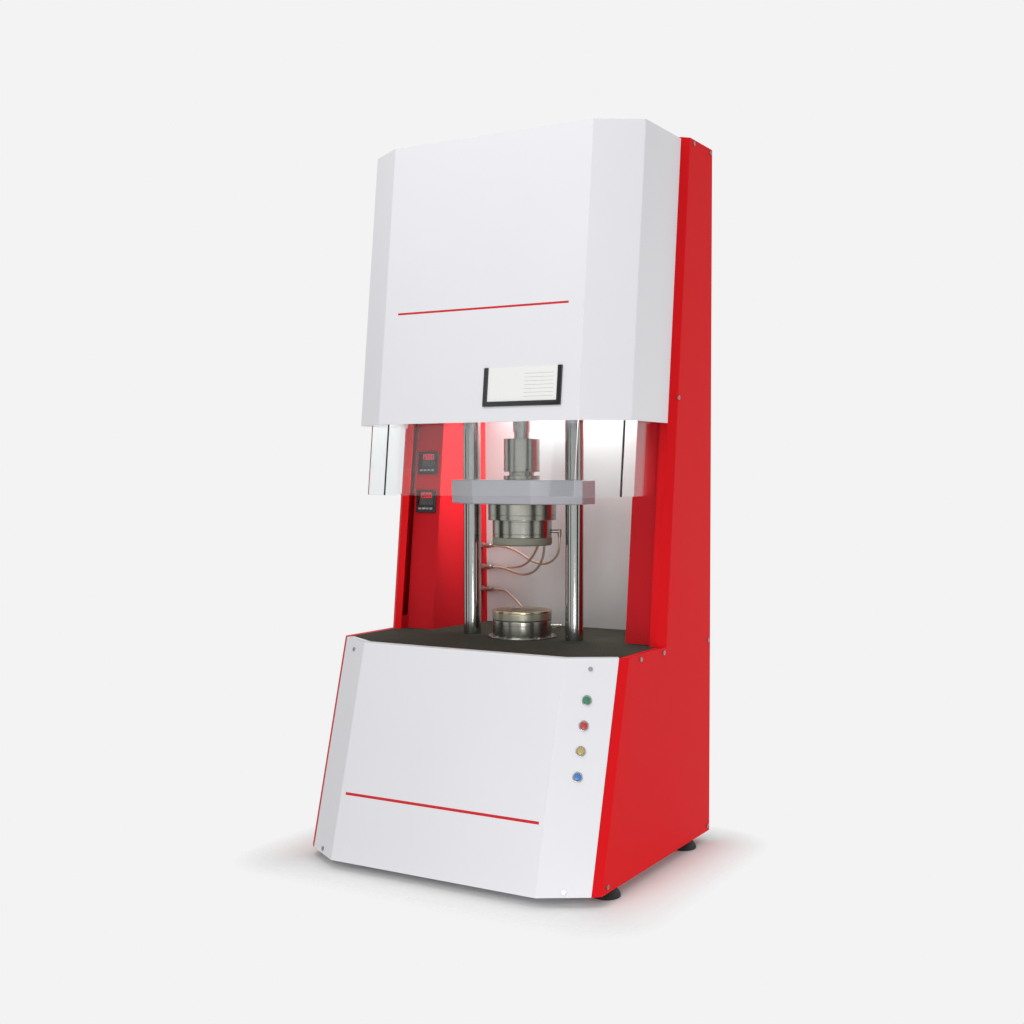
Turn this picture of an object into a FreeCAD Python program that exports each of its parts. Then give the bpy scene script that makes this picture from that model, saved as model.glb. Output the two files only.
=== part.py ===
import FreeCAD, Part
import math
import os
import re
import Sketcher
from FreeCAD import Placement, Rotation, Vector

# Moving die rheometer: a free-standing cabinet with an open test chamber. An upper die on a
# crosshead comes down two guide pillars onto a lower die, which oscillates about the vertical
# axis, and a clear shield slides down in front.
# Millimetres. The origin is on the floor under the middle of the cabinet, +Z is up and the
# front faces -Y.

os.makedirs("parts", exist_ok=True)
doc = FreeCAD.newDocument("MovingDieRheometer")
sizes = doc.addObject("Spreadsheet::Sheet", "Sizes")

# Driving dimensions: alias, value in mm unless the note says otherwise, note
SIZES = [
    # Cabinet
    ("width", 620, "over the two side panels"),
    ("depth", 546, "foot of the front panel to the rear panel"),
    ("height", 1370, "floor to the top cover"),
    ("foot_high", 18, "height of the rubber feet"),
    ("table_z", 410, "height of the working table"),
    ("sheet", 2, "thickness of the sheet metal"),
    ("gap", 0.3, "assembly gap between neighbouring sheets"),
    ("fit_gap", 0.05, "radial clearance of pieces pressed or located together"),
    ("run_fit", 0.05, "radial clearance of a running shaft"),
    ("edge_break", 1.5, "broken edges of machined pieces"),
    ("bevel", 13, "45 degree bevel on the side panels' front edges"),
    ("flange", 16, "front flange of the side panels, inboard of the bevel"),
    ("return_flange", 20, "turned-in flanges inside the cabinet"),
    ("facet_wide", 80.5, "corner facets of the hood and front panel, across"),
    ("facet_deep", 50.4, "corner facets of the hood and front panel, front to back"),
    ("base_slope", 0.27, "front panel's slope, mm forward per mm down"),
    ("lean", 0.1086, "lean of the column, hood and shield, mm back per mm up"),
    ("column_y", 44, "front of the column's flanges at the table"),
    ("panel_lip", 16, "turned-in lip along the front panel's top"),
    # Hood
    ("hood_low", 826, "height of the hood's lower edge"),
    ("hood_drop", 3, "hood's top below the top cover"),
    ("hood_y", -120, "front of the hood at its lower edge"),
    # Towers and back wall
    ("tower_recess", 26, "tower front behind the column's flanges"),
    ("tower_inset", 90.5, "tower's inner front corner inside the side panel's face"),
    ("tower_margin", 26, "tower's outer front corner inside that face"),
    ("tower_flare", 15.5, "tower's inner side spreads inwards by this to the back wall"),
    ("tower_drop", 45, "towers and back wall below the top cover"),
    ("wall_back", 11, "front of the chamber's back wall in front of the rear"),
    ("slot_end", 27, "height of the web that closes the slot beside the tower"),
    # Welded frame
    ("tube", 30, "side of the square frame tube"),
    ("tube_wall", 3, "wall of the square frame tube"),
    ("post_inset", 65, "frame posts inside the side panel's face"),
    ("front_post_back", 163, "front posts behind the foot of the front panel"),
    ("rail_inset", 22, "bottom rails and feet inside the side panel's face"),
    ("bed_thick", 24, "bed plate"),
    ("mat_thick", 6, "textured table top on the bed plate"),
    # Feet
    ("foot_front_back", 123, "front feet behind the foot of the front panel"),
    ("foot_rear_in", 83, "rear feet in front of the rear"),
    ("foot_radius", 26, "foot at the floor"),
    ("foot_rim", 5, "height of the foot's rim"),
    ("foot_shoulder", 19, "foot's radius under its collar"),
    ("foot_collar", 3, "height of the collar"),
    ("foot_neck", 16, "radius of the collar"),
    # Guide pillars and head plate
    ("pillar_x", 116, "guide pillars from the middle"),
    ("die_y", 60, "die axis and pillars behind the middle"),
    ("pillar_dia", 35, "guide pillars"),
    ("spigot_dia", 24, "threaded ends of the pillars"),
    ("spigot_long", 48, "length of a threaded end"),
    ("nut_high", 19, "pillar nuts"),
    ("nut_flats", 36, "pillar nuts across flats"),
    ("head_drop", 315, "underside of the head plate below the top cover"),
    ("head_thick", 25, "head plate"),
    ("head_wide", 165, "half width of the head plate"),
    ("head_deep", 64, "half depth of the head plate"),
    # Lower die stack, from the table up
    ("guard_dia", 116, "lower guard ring"),
    ("guard_wall", 4, "wall of the guard ring"),
    ("guard_high", 34, "top of the guard ring over the table"),
    ("guard_flange_dia", 135, "foot flange of the guard ring"),
    ("guard_flange_high", 3, "thickness of that flange"),
    ("run_gap", 0.4, "gap between the guard ring and the turning parts"),
    ("seal_dia", 117, "grey seal rings"),
    ("seal_high", 15.6, "height of a seal ring"),
    ("seal_round", 5, "rounded edge of a seal ring"),
    ("die_rim", 3.5, "rim of a die plate"),
    ("die_dia", 117.5, "die plates"),
    ("cavity_dia", 44, "test cavity in the die faces"),
    ("cavity_deep", 2, "depth of the test cavity at its edge"),
    ("holder_dia", 98, "lower die holder"),
    ("holder_gap", 6, "die holder above the table"),
    ("fitting_dia", 8, "hose fittings"),
    ("nozzle_z", 430, "height of the guard ring's nozzles"),
    ("nozzle_long", 12, "hose nozzle outside the guard ring"),
    ("sensor_long", 20, "sensor nozzle outside the guard ring"),
    ("shaft_dia", 40, "drive shaft"),
    ("shaft_room", 3, "room round the shaft and the rod in the plates"),
    # Upper die stack and crosshead
    ("die_travel", 127, "travel of the crosshead between open and closed"),
    ("close_gap", 0.5, "gap left between the seal rings when closed"),
    ("heater_dia", 117, "upper heater block"),
    ("heater_high", 34, "height of the heater block"),
    ("cell_dia", 134, "torque cell housing"),
    ("cell_high", 32, "height of the torque cell housing"),
    ("cell_wall", 8, "wall, floor and hub of the torque cell"),
    ("flexure_neck", 36, "neck of the torque cell's flexure, in one piece with its housing"),
    ("flexure_hub", 84, "hub of the flexure under the crosshead plate"),
    ("plate_thick", 46.5, "crosshead plate"),
    ("plate_wide", 147, "half width of the crosshead plate"),
    ("plate_deep", 80, "half depth of the crosshead plate"),
    ("plate_facet_x", 65.5, "half width of the plate's front face"),
    ("plate_facet_y", 27, "half depth of the plate's side faces"),
    ("bush_dia", 46, "guide bushes in the plate"),
    ("slide_gap", 0.1, "radial clearance of sliding fits"),
    # Rod, coupling and air cylinder
    ("coupling_dia", 71, "rod coupling"),
    ("coupling_foot", 8.5, "foot ring of the coupling"),
    ("coupling_neck", 7, "height of the neck above that ring"),
    ("coupling_neck_dia", 50, "neck of the coupling"),
    ("coupling_high", 65, "barrel of the coupling"),
    ("coupling_band", 9, "lower band of the barrel, below the joint line"),
    ("coupling_ring", 19, "middle band of the barrel"),
    ("rod_dia", 34, "piston rod"),
    ("rod_neck_dia", 30, "neck of the rod above the coupling"),
    ("rod_neck", 13, "height of that neck"),
    ("rod_socket", 40, "rod end inside the coupling"),
    ("rod_end_dia", 24, "rod end inside the coupling, across"),
    ("bore_dia", 100, "bore of the air cylinder"),
    ("barrel_wall", 5, "wall of the cylinder barrel"),
    ("piston_thick", 25, "piston"),
    ("cushion", 14, "room at each end of the piston's stroke"),
    ("joint_line", 1.2, "grooves that mark joints between turned pieces"),
    ("spanner_hole", 5, "spanner holes in the coupling"),
    ("cap_side", 126, "square end caps of the cylinder"),
    ("cap_thick", 25, "thickness of an end cap"),
    ("tie_dia", 10, "tie rods"),
    ("tie_offset", 51, "tie rods from the cylinder's axis"),
    # Drive under the table
    ("housing_dia", 92, "bearing housing"),
    ("housing_flange", 150, "flange of the bearing housing"),
    ("housing_flange_thick", 14, "thickness of that flange"),
    ("housing_long", 92, "bearing housing below the bed plate"),
    ("bearing_dia", 68, "bearings, outer"),
    ("bearing_wide", 15, "width of a bearing"),
    ("motor_side", 92, "servo motor, square"),
    ("motor_long", 150, "servo motor, length"),
    ("motor_shaft", 20, "motor shaft"),
    ("motor_socket", 35, "depth of the shaft in the motor"),
    ("bearing_lip", 6, "lip that carries the lower bearing"),
    ("box_x", 140, "electronics box left of the middle"),
    ("box_wide", 130, "electronics box"),
    ("box_deep", 178, "electronics box"),
    ("box_high", 120, "electronics box"),
    # Shield
    ("shield_thick", 5, "clear acrylic"),
    ("shield_drop", 136, "lower edge of the raised shield below the hood"),
    ("shield_over", 35, "shield's top above the lift cylinders' lower ends"),
    ("shield_inset", 18, "shield inside the hood's front and wings"),
    ("shield_fold_in", 9.5, "shield's folds inside the hood's folds"),
    ("shield_facet_deep", 45, "shield's corner facets, front to back"),
    ("shield_tail", 15, "shield wings reach this far behind the column's flanges"),
    ("shield_travel", 245, "travel of the shield along its lean"),
    ("rail_wide", 12, "shield rail, across"),
    ("rail_deep", 14, "shield rail, front to back"),
    ("rail_back", 16, "shield rail behind the column's front plane"),
    ("rail_over", 15, "rails beyond the carriers' travel"),
    ("rail_short", 10, "rails end below the lift cylinders"),
    ("rod_bare", 30, "bare lift rod over the raised carrier"),
    ("carrier_high", 70, "height of a shield carrier"),
    ("carrier_arm", 3, "arms of a carrier round its rail, and its room to the tower"),
    ("lift_inset", 20, "shield lift cylinders inside the side panel's face"),
    ("lift_back", 13.5, "lift cylinder's axis behind the column's front plane"),
    ("lift_dia", 22, "shield lift cylinder"),
    ("lift_wall", 2.5, "wall of the lift cylinder"),
    ("lift_room", 50, "lift cylinder's length over the shield's travel"),
    ("lift_drop", 25, "lift cylinders below the top cover"),
    ("lift_end", 8, "end walls and brackets of the lift cylinder"),
    ("lift_head_room", 23, "underside of the raised lift piston below the cylinder's top"),
    ("lift_head", 12, "lift piston"),
    ("lift_rod", 8, "rod of the lift cylinder"),
    # Controls and fittings
    ("button_across", 39.5, "push buttons from the front panel's fold"),
    ("button_top", 339, "height of the top button"),
    ("button_pitch", 42.3, "height between buttons"),
    ("bezel_dia", 18, "push button bezel"),
    ("bezel_high", 2.6, "bezel over the panel"),
    ("cap_dia", 12.6, "push button cap"),
    ("cap_proud", 2.4, "button cap over its bezel"),
    ("button_barrel", 16, "threaded barrel behind the bezel"),
    ("button_travel", 3, "travel of a push button"),
    ("button_gap", 0.2, "radial clearance of a button cap"),
    ("cap_deep", 8, "button cap inside its bezel"),
    ("barrel_long", 22, "barrel behind the panel"),
    ("control_top", 753.5, "middle of the upper controller"),
    ("control_pitch", 80, "height between the controllers"),
    ("control_side", 48, "controller front, square"),
    ("control_body", 44, "controller body, square"),
    ("control_deep", 60, "controller body behind the panel"),
    ("control_proud", 6, "controller front over the panel"),
    ("control_window", 38, "recessed display of a controller"),
    ("label_x", 99.5, "middle of the label holder"),
    ("label_z", 854, "lower edge of the label holder"),
    ("label_wide", 163, "label holder"),
    ("label_high", 72, "label holder"),
    ("label_bar", 9, "bars of the label holder"),
    ("label_deep", 3.5, "thickness of the label holder"),
    ("gland_wall", 19, "hose glands in front of the back wall"),
    ("gland_top", 576, "top gland"),
    ("gland_middle", 530, "middle gland"),
    ("gland_bottom", 482, "bottom gland"),
    ("gland_dia", 11, "hose gland"),
    ("gland_stem", 6, "threaded stem through the tower's side"),
    ("gland_hex", 7, "hexagon of the gland"),
    ("gland_reach", 29, "glands reach inwards beyond the tower's rear corner"),
    ("gland_bore", 10, "hole in the tower for a gland's stem"),
    ("gland_lead", 26, "straight start of a hose"),
    ("gland_split", 2.8, "two hoses of a gland from its axis"),
    ("elbow_z", 618, "height of the elbow on the heater block"),
    ("elbow_reach", 15, "elbow outside the heater block"),
    ("elbow_drop", 12, "elbow's leg below its axis"),
    ("elbow_arm", 7, "elbow's arm, across"),
    ("nipple_ring", 62.9, "nipples from the die axis"),
    ("nipple_long", 12, "nipples below the torque cell housing"),
    ("hose_dia", 5, "braided hoses"),
    ("screw_dia", 8, "panel screw heads"),
    ("screw_high", 2, "panel screw heads"),
    ("screw_edge", 11, "screws in from the rear edge, and up from the lower edge"),
    ("screw_drop", 9, "screws below the shoulder at the table, and over the front panel's foot"),
    ("screw_top", 8, "screws below the top cover"),
    ("screw_front", 60, "front shoulder screw behind the base's corner"),
    ("facet_screw", 18.5, "front panel's upper screws below the table"),
    # Rear connections
    ("panel_recess", 20, "depth of the connector recess in the rear panel"),
    ("recess_x", -90, "middle of the connector recess"),
    ("recess_z", 130, "middle of the connector recess"),
    ("recess_wide", 130, "connector recess"),
    ("recess_high", 70, "connector recess"),
    ("louvre_x", 90, "left end of the louvre slots"),
    ("louvre_wide", 120, "louvre slot"),
    ("louvre_z", 80, "lowest louvre slot"),
    ("louvre_high", 6, "louvre slot"),
    ("louvre_pitch", 24, "height between louvre slots"),
    ("louvre_rows", 10, "number of louvre slots"),
    ("air_bore", 5.9, "radius of the air inlet's bore"),
    ("air_long", 16, "length of the air inlet's bore"),
    ("air_wall", 2.5, "wall of the air inlet"),
    ("air_proud", 13, "air inlet outside the pan"),
    ("air_nut", 5, "hexagon of the air inlet"),
    ("air_offset", 40, "air inlet right of the recess's middle"),
    ("inlet_offset", 27, "mains inlet left of the recess's middle"),
    ("inlet_wide", 49.4, "mains inlet's body"),
    ("inlet_high", 27.4, "mains inlet's body"),
    ("inlet_deep", 30, "mains inlet behind the pan"),
    ("inlet_flange", 3, "mains inlet's flange"),
    ("socket_wall", 1.5, "wall round the socket"),
    ("socket_high", 17, "socket's mouth"),
    ("socket_deep", 14, "socket's depth"),
    ("pin_pitch", 6.5, "outer pins from the middle one"),
    ("pin_drop", 1.5, "outer pins below the middle"),
    ("pin_rise", 2.5, "middle pin above the middle"),
    ("pin_wide", 2, "pin"),
    ("pin_high", 4, "pin"),
    ("rocker_offset", 9.4, "power switch rocker right of the inlet's middle"),
    ("rocker_wide", 12, "power switch rocker"),
    ("rocker_deep", 11, "power switch rocker"),
    ("rocker_high", 18, "power switch rocker"),
]

# Sizes that follow from those, as formulas in the same sheet: alias, formula, note
DERIVED = [
    ("hood_top", "height - hood_drop", "height of the hood's top"),
    ("tower_in", "width / 2 - tower_inset", "tower's inner front corner from the middle"),
    ("tower_out", "width / 2 - tower_margin", "tower's outer front corner from the middle"),
    ("tower_rear_in", "tower_in - tower_flare", "tower's inner rear corner from the middle, at the table"),
    ("tower_top", "height - tower_drop", "height of the towers"),
    ("wall_y", "depth / 2 - wall_back", "front face of the chamber's back wall"),
    ("post_x", "width / 2 - post_inset", "frame posts from the middle"),
    ("front_post_y", "front_post_back - depth / 2", "middle of the front posts"),
    ("rail_x", "width / 2 - rail_inset", "bottom rails and feet from the middle"),
    ("foot_front", "foot_front_back - depth / 2", "middle of the front feet"),
    ("foot_rear", "depth / 2 - foot_rear_in", "middle of the rear feet"),
    ("head_z", "height - head_drop", "underside of the head plate"),
    ("shield_low", "hood_low - shield_drop", "lower edge of the raised shield"),
    ("shield_out", "width / 2 - bevel - shield_inset", "half width over the shield's wings"),
    ("shield_fold", "width / 2 - bevel - facet_wide - shield_fold_in", "half width of the shield's front"),
    ("lift_x", "width / 2 - lift_inset", "shield lift cylinders from the middle"),
    ("lift_top", "height - lift_drop", "upper end of the lift cylinder"),
    ("lift_low", "lift_top - shield_travel - lift_room", "lower end of the lift cylinder"),
    ("lift_stroke_top", "lift_top - lift_head_room", "underside of the raised lift piston"),
    ("shield_high", "lift_low + shield_over - shield_low", "height of the shield sheet"),
    ("carrier_low", "lift_low - rod_bare - carrier_high", "underside of the raised shield carriers"),
    ("rail_low", "carrier_low - shield_travel - rail_over", "lower end of the shield rails"),
    ("rail_top", "lift_low - rail_short", "upper end of the shield rails"),
    ("button_x", "width / 2 - bevel - facet_wide + button_across", "push buttons from the middle"),
    ("control_x", "(tower_in + tower_out) / 2", "temperature controllers left of the middle"),
    ("gland_y", "wall_y - gland_wall", "hose glands behind the middle"),
    ("gland_end", "gland_reach - tower_rear_in", "end of the glands, from the middle"),
    ("inlet_x", "recess_x - inlet_offset", "middle of the mains inlet"),
    ("rocker_x", "inlet_x + rocker_offset", "middle of the power switch rocker"),
    ("air_x", "recess_x + air_offset", "middle of the air inlet"),
]

ROWS = SIZES + [(alias, "=" + formula, note) for alias, formula, note in DERIVED]
for row, (alias, value, note) in enumerate(ROWS, start=1):
    sizes.set("A%d" % row, note)
    sizes.set("B%d" % row, str(value))
    sizes.setAlias("B%d" % row, alias)
doc.recompute()
ALIASES = {entry[0] for entry in ROWS}

# Levels nearer than this are the same level
TOUCH = 1e-4


def bound(text):
    """Return an expression in which every size is read from the sheet."""
    def full(word):
        return "Sizes." + word[0] if word[0] in ALIASES else word[0]
    return re.sub(r"[a-z][a-z0-9_]*", full, str(text))


def number(text):
    """Return the present value of an expression of sizes."""
    return float(sizes.evalExpression(str(text)))


def bind(thing, **values):
    """Bind properties to expressions; a double underscore stands for a dot."""
    for name, text in values.items():
        thing.setExpression(name.replace("__", "."), bound(text))


pieces = {}


def keep(name, thing):
    """Give a finished sub-part its name."""
    thing.Label = name
    pieces[name] = thing
    return thing


# Sketches and PartDesign features

def new_body(name):
    return doc.addObject("PartDesign::Body", name + "_body")


def outline(body, plane, points, height="0"):
    """Closed sketch of straight lines through points given as expressions."""
    sketch = body.newObject("Sketcher::SketchObject", "Outline")
    origin_plane = [item for item in body.Origin.OriginFeatures if item.Role == plane][0]
    sketch.AttachmentSupport = [(origin_plane, "")]
    sketch.MapMode = "FlatFace"
    bind(sketch, AttachmentOffset__Base__z=height)
    here = [Vector(number(x), number(y), 0) for x, y in points]
    count = len(here)
    for index in range(count):
        sketch.addGeometry(Part.LineSegment(here[index], here[(index + 1) % count]), False)
    for index in range(count):
        sketch.addConstraint(Sketcher.Constraint("Coincident", index, 2, (index + 1) % count, 1))
    for index, (x, y) in enumerate(points):
        for kind, text in (("DistanceX", x), ("DistanceY", y)):
            made = sketch.addConstraint(Sketcher.Constraint(kind, -1, 1, index, 1, number(text)))
            sketch.setExpression("Constraints[%d]" % made, bound(text))
    return sketch


def rectangle(x_low, x_high, y_low, y_high):
    return [(x_low, y_low), (x_high, y_low), (x_high, y_high), (x_low, y_high)]


def square(half):
    return rectangle("-(%s)" % half, half, "-(%s)" % half, half)


def circles(body, plane, centres, radius, height="0"):
    """Sketch of equal circles with centres given as expressions."""
    sketch = body.newObject("Sketcher::SketchObject", "Circles")
    origin_plane = [item for item in body.Origin.OriginFeatures if item.Role == plane][0]
    sketch.AttachmentSupport = [(origin_plane, "")]
    sketch.MapMode = "FlatFace"
    bind(sketch, AttachmentOffset__Base__z=height)
    for index, (x, y) in enumerate(centres):
        middle = Vector(number(x), number(y), 0)
        sketch.addGeometry(Part.Circle(middle, Vector(0, 0, 1), number(radius)), False)
        for kind, text in (("DistanceX", x), ("DistanceY", y)):
            made = sketch.addConstraint(Sketcher.Constraint(kind, -1, 1, index, 3, number(text)))
            sketch.setExpression("Constraints[%d]" % made, bound(text))
        made = sketch.addConstraint(Sketcher.Constraint("Radius", index, number(radius)))
        sketch.setExpression("Constraints[%d]" % made, bound(radius))
    return sketch


def pad(body, sketch, length, lean=None, downward=False):
    """Pad a sketch; with a lean it is sheared along Y by that ratio."""
    feature = body.newObject("PartDesign::Pad", "Pad")
    feature.Profile = sketch
    bind(feature, Length=length)
    if lean is not None:
        feature.UseCustomVector = True
        feature.Direction = Vector(0, number(lean), -1 if downward else 1)
        feature.AlongSketchNormal = True
        bind(feature, Direction__y=lean)
    elif downward:
        feature.Reversed = True
    sketch.Visibility = False
    return feature


def pocket(body, sketch, length=None, reverse=False, both=False):
    """Cut a sketch out of a body, to a depth or through all of it."""
    doc.recompute()
    before = body.Shape.Volume
    feature = body.newObject("PartDesign::Pocket", "Pocket")
    feature.Profile = sketch
    feature.Reversed = reverse
    feature.Midplane = both
    if length is None:
        feature.Type = "ThroughAll"
    else:
        bind(feature, Length=length)
    doc.recompute()
    if not body.Shape.Volume < before - TOUCH:
        raise RuntimeError("a pocket of %s removes nothing" % body.Name)
    return feature


def turned(name, points, x="0", y="die_y"):
    """Body turned about a vertical axis from a half section of (radius, height)."""
    body = new_body(name)
    sketch = outline(body, "XZ_Plane", points)
    feature = body.newObject("PartDesign::Revolution", "Revolution")
    feature.Profile = sketch
    feature.ReferenceAxis = (sketch, ["V_Axis"])
    feature.Angle = 360
    bind(body, Placement__Base__x=x, Placement__Base__y=y)
    return body


# Part primitives

def box(x, y, z):
    """Box between two expressions along each axis."""
    solid = doc.addObject("Part::Box", "Box")
    bind(solid, Length="(%s) - (%s)" % (x[1], x[0]), Width="(%s) - (%s)" % (y[1], y[0]),
         Height="(%s) - (%s)" % (z[1], z[0]))
    bind(solid, Placement__Base__x=x[0], Placement__Base__y=y[0], Placement__Base__z=z[0])
    return solid


TURNS = {
    "x": Rotation(Vector(0, 1, 0), 90),
    "y": Rotation(Vector(1, 0, 0), -90),
    "z": Rotation(),
}


def cylinder(x, y, z, radius, length, along="z"):
    """Cylinder that starts at a point and runs along +X, +Y or +Z, or a rotation."""
    solid = doc.addObject("Part::Cylinder", "Cylinder")
    turn = TURNS[along] if isinstance(along, str) else along
    solid.Placement = Placement(Vector(), turn)
    bind(solid, Radius=radius, Height=length)
    bind(solid, Placement__Base__x=x, Placement__Base__y=y, Placement__Base__z=z)
    return solid


def hexagon(x, y, z, flats, length, along="z"):
    """Hexagonal prism that starts at a point."""
    solid = doc.addObject("Part::Prism", "Hexagon")
    solid.Polygon = 6
    solid.Placement = Placement(Vector(), TURNS[along])
    bind(solid, Circumradius="(%s) / sqrt(3)" % flats, Height=length)
    bind(solid, Placement__Base__x=x, Placement__Base__y=y, Placement__Base__z=z)
    return solid


def fuse(things):
    joined = doc.addObject("Part::MultiFuse", "Fuse")
    joined.Shapes = things
    joined.Refine = True
    return joined


def group(things):
    """Separate solids kept as one compound."""
    made = doc.addObject("Part::Compound", "Group")
    made.Links = things
    return made


def cut(base, tools):
    made = doc.addObject("Part::Cut", "Cut")
    made.Base = base
    made.Tool = tools[0] if len(tools) == 1 else fuse(tools)
    made.Refine = True
    return made


def mirrored(thing):
    """The same piece on the other side of the cabinet."""
    made = doc.addObject("Part::Mirroring", "Mirrored")
    made.Source = thing
    made.Normal = Vector(1, 0, 0)
    return made


# Lines that several sub-parts share, as expressions
REAR = "(depth / 2)"
PANEL_BACK = "(depth / 2 - screw_high)"
FLANGE_FRONT = "(depth / 2 - screw_high - 2 * sheet)"
PAN = "(depth / 2 - screw_high - panel_recess)"
BASE_FRONT = "(base_slope * (table_z - foot_high) - depth / 2)"
BASE_CORNER = "(%s + facet_deep)" % BASE_FRONT
PANEL_X = "(width / 2 - bevel)"
FOLD_X = "(width / 2 - bevel - facet_wide)"
INSIDE_X = "(width / 2 - sheet)"
BED_TOP = "(table_z - mat_thick)"
BED_LOW = "(table_z - mat_thick - bed_thick)"
TRAY_TOP = "(foot_high + 2 * sheet)"
FACET_FACTOR = "(sqrt(facet_wide * facet_wide + facet_deep * facet_deep) / facet_wide)"


def column_front(z):
    """Front plane of the column's flanges at a height."""
    return "(column_y + lean * ((%s) - table_z))" % z


def front_panel_y(z):
    """Outer face of the sloping front panel at a height."""
    return "(%s - base_slope * (table_z - (%s)))" % (BASE_FRONT, z)


def hood_front(z):
    """Outer face of the hood's front at a height."""
    return "(hood_y + lean * ((%s) - hood_low))" % z


# Angles about the die axis, degrees from +X, and of the rocker
ELBOW_ANGLE = 30
NIPPLE_ANGLES = (86.4, 74.3)
NOZZLE_ANGLE = 110
SENSOR_ANGLE = 35
ROCKER_TILT = -7

# Share of the shorter run that each arc of a hose takes
ARC_SHARE = 0.45

# Hand-chosen middles of the hoses' routes; their ends are straight runs at the fittings
UPPER_MIDDLES = [
    [(-106, 224, 567), (-62, 190, 555), (-19, 158, 547), (22, 128, 551), (52, 108, 567)],
    [(-108, 220, 533), (-68, 187, 541), (-31, 154, 559), (-6, 134, 583)],
    [(-106, 212, 522), (-60, 181, 521), (-20, 153, 534), (6, 135, 561)],
]
LOWER_MIDDLE = [(-119, 214, 476), (-86, 185, 467), (-59, 164, 454), (-40, 151, 440)]

# Straight ends of the hoses at the elbow, the two nipples and the guard ring's nozzle
FITTING_LEADS = (19, 23.6, 34.6)
NOZZLE_LEAD = 14

# Vertical stack on the die axis, from the table up
GUARD_TOP = "(table_z + guard_high)"
LOWER_SEAL_LOW = "(table_z + guard_high + run_gap)"
LOWER_SEAL_TOP = "(%s + seal_high)" % LOWER_SEAL_LOW
LOWER_FACE = "(%s + die_rim)" % LOWER_SEAL_TOP
UPPER_FACE = "(%s + die_travel + close_gap)" % LOWER_FACE
UPPER_SEAL_TOP = "(%s + seal_high)" % UPPER_FACE
HEATER_TOP = "(%s + heater_high)" % UPPER_SEAL_TOP
CELL_TOP = "(%s + cell_high)" % HEATER_TOP
PLATE_TOP = "(%s + plate_thick)" % CELL_TOP
NECK_LOW = "(%s + coupling_foot)" % PLATE_TOP
BARREL_LOW = "(%s + coupling_neck)" % NECK_LOW
COUPLING_TOP = "(%s + coupling_high)" % BARREL_LOW
HEAD_TOP = "(head_z + head_thick)"
CYLINDER_LOW = "(%s + cap_thick)" % HEAD_TOP
CYLINDER_LONG = "(die_travel + piston_thick + 2 * cushion)"
CYLINDER_TOP = "(%s + %s)" % (CYLINDER_LOW, CYLINDER_LONG)
PISTON_TOP = "(%s - cushion)" % CYLINDER_TOP
HOUSING_LOW = "(%s - housing_long)" % BED_LOW
PILLARS = [("-pillar_x", "die_y"), ("pillar_x", "die_y")]


# Cabinet panels

def side_panel():
    """Sheet panel with bevelled and flanged front edges, trimmed at the rear."""
    body = new_body("right_side_panel")
    column = outline(body, "XY_Plane", [
        ("width / 2", REAR), ("width / 2", "column_y + bevel"), (PANEL_X, "column_y"),
        (PANEL_X + " - flange", "column_y"), (PANEL_X + " - flange", "column_y + sheet"),
        (PANEL_X + " - 0.4 * sheet", "column_y + sheet"),
        (INSIDE_X, "column_y + bevel + 0.8 * sheet"), (INSIDE_X, REAR)], "table_z")
    pad(body, column, "height - table_z", "lean")
    corner = "(%s + facet_deep)" % front_panel_y("table_z - sheet")
    seat = corner + " + 3 * sheet"
    rear_end = REAR + " + base_slope * (table_z - foot_high)"
    base = outline(body, "XY_Plane", [
        ("width / 2", rear_end), ("width / 2", corner + " + bevel"), (PANEL_X, corner), (PANEL_X, seat),
        (PANEL_X + " - flange", seat), (PANEL_X + " - flange", seat + " + sheet"),
        (PANEL_X, seat + " + sheet"), (INSIDE_X, seat + " + bevel - 1.5 * sheet"), (INSIDE_X, rear_end)],
        "table_z - sheet")
    pad(body, base, "table_z - sheet - foot_high", "-base_slope", downward=True)
    behind = outline(body, "YZ_Plane", rectangle(REAR, "2 * depth", "-gap", "height + gap"))
    pocket(body, behind, both=True)
    shoulder = outline(body, "XY_Plane", [
        (PANEL_X, BASE_CORNER), ("width / 2", BASE_CORNER + " + bevel"), ("width / 2", REAR),
        (INSIDE_X, REAR), (INSIDE_X, "column_y + bevel + sheet"),
        (PANEL_X, "column_y + bevel + sheet")], "table_z")
    pad(body, shoulder, "sheet", downward=True)
    turned_in = "width / 2 - return_flange"
    near = front_panel_y("foot_high") + " + facet_deep + bevel + return_flange"
    low = outline(body, "XY_Plane", rectangle(turned_in, INSIDE_X, near, FLANGE_FRONT), "foot_high")
    pad(body, low, "sheet")
    rear = outline(body, "XY_Plane", rectangle(
        turned_in, INSIDE_X, FLANGE_FRONT, FLANGE_FRONT + " + sheet"), "foot_high")
    pad(body, rear, "height - foot_high - sheet")
    top = outline(body, "XY_Plane", rectangle(
        turned_in, INSIDE_X, column_front("height") + " + bevel + 2 * sheet", FLANGE_FRONT + " + sheet"),
        "height - 2 * sheet")
    pad(body, top, "sheet")
    keep("right_side_panel", body)
    keep("left_side_panel", mirrored(body))


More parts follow.
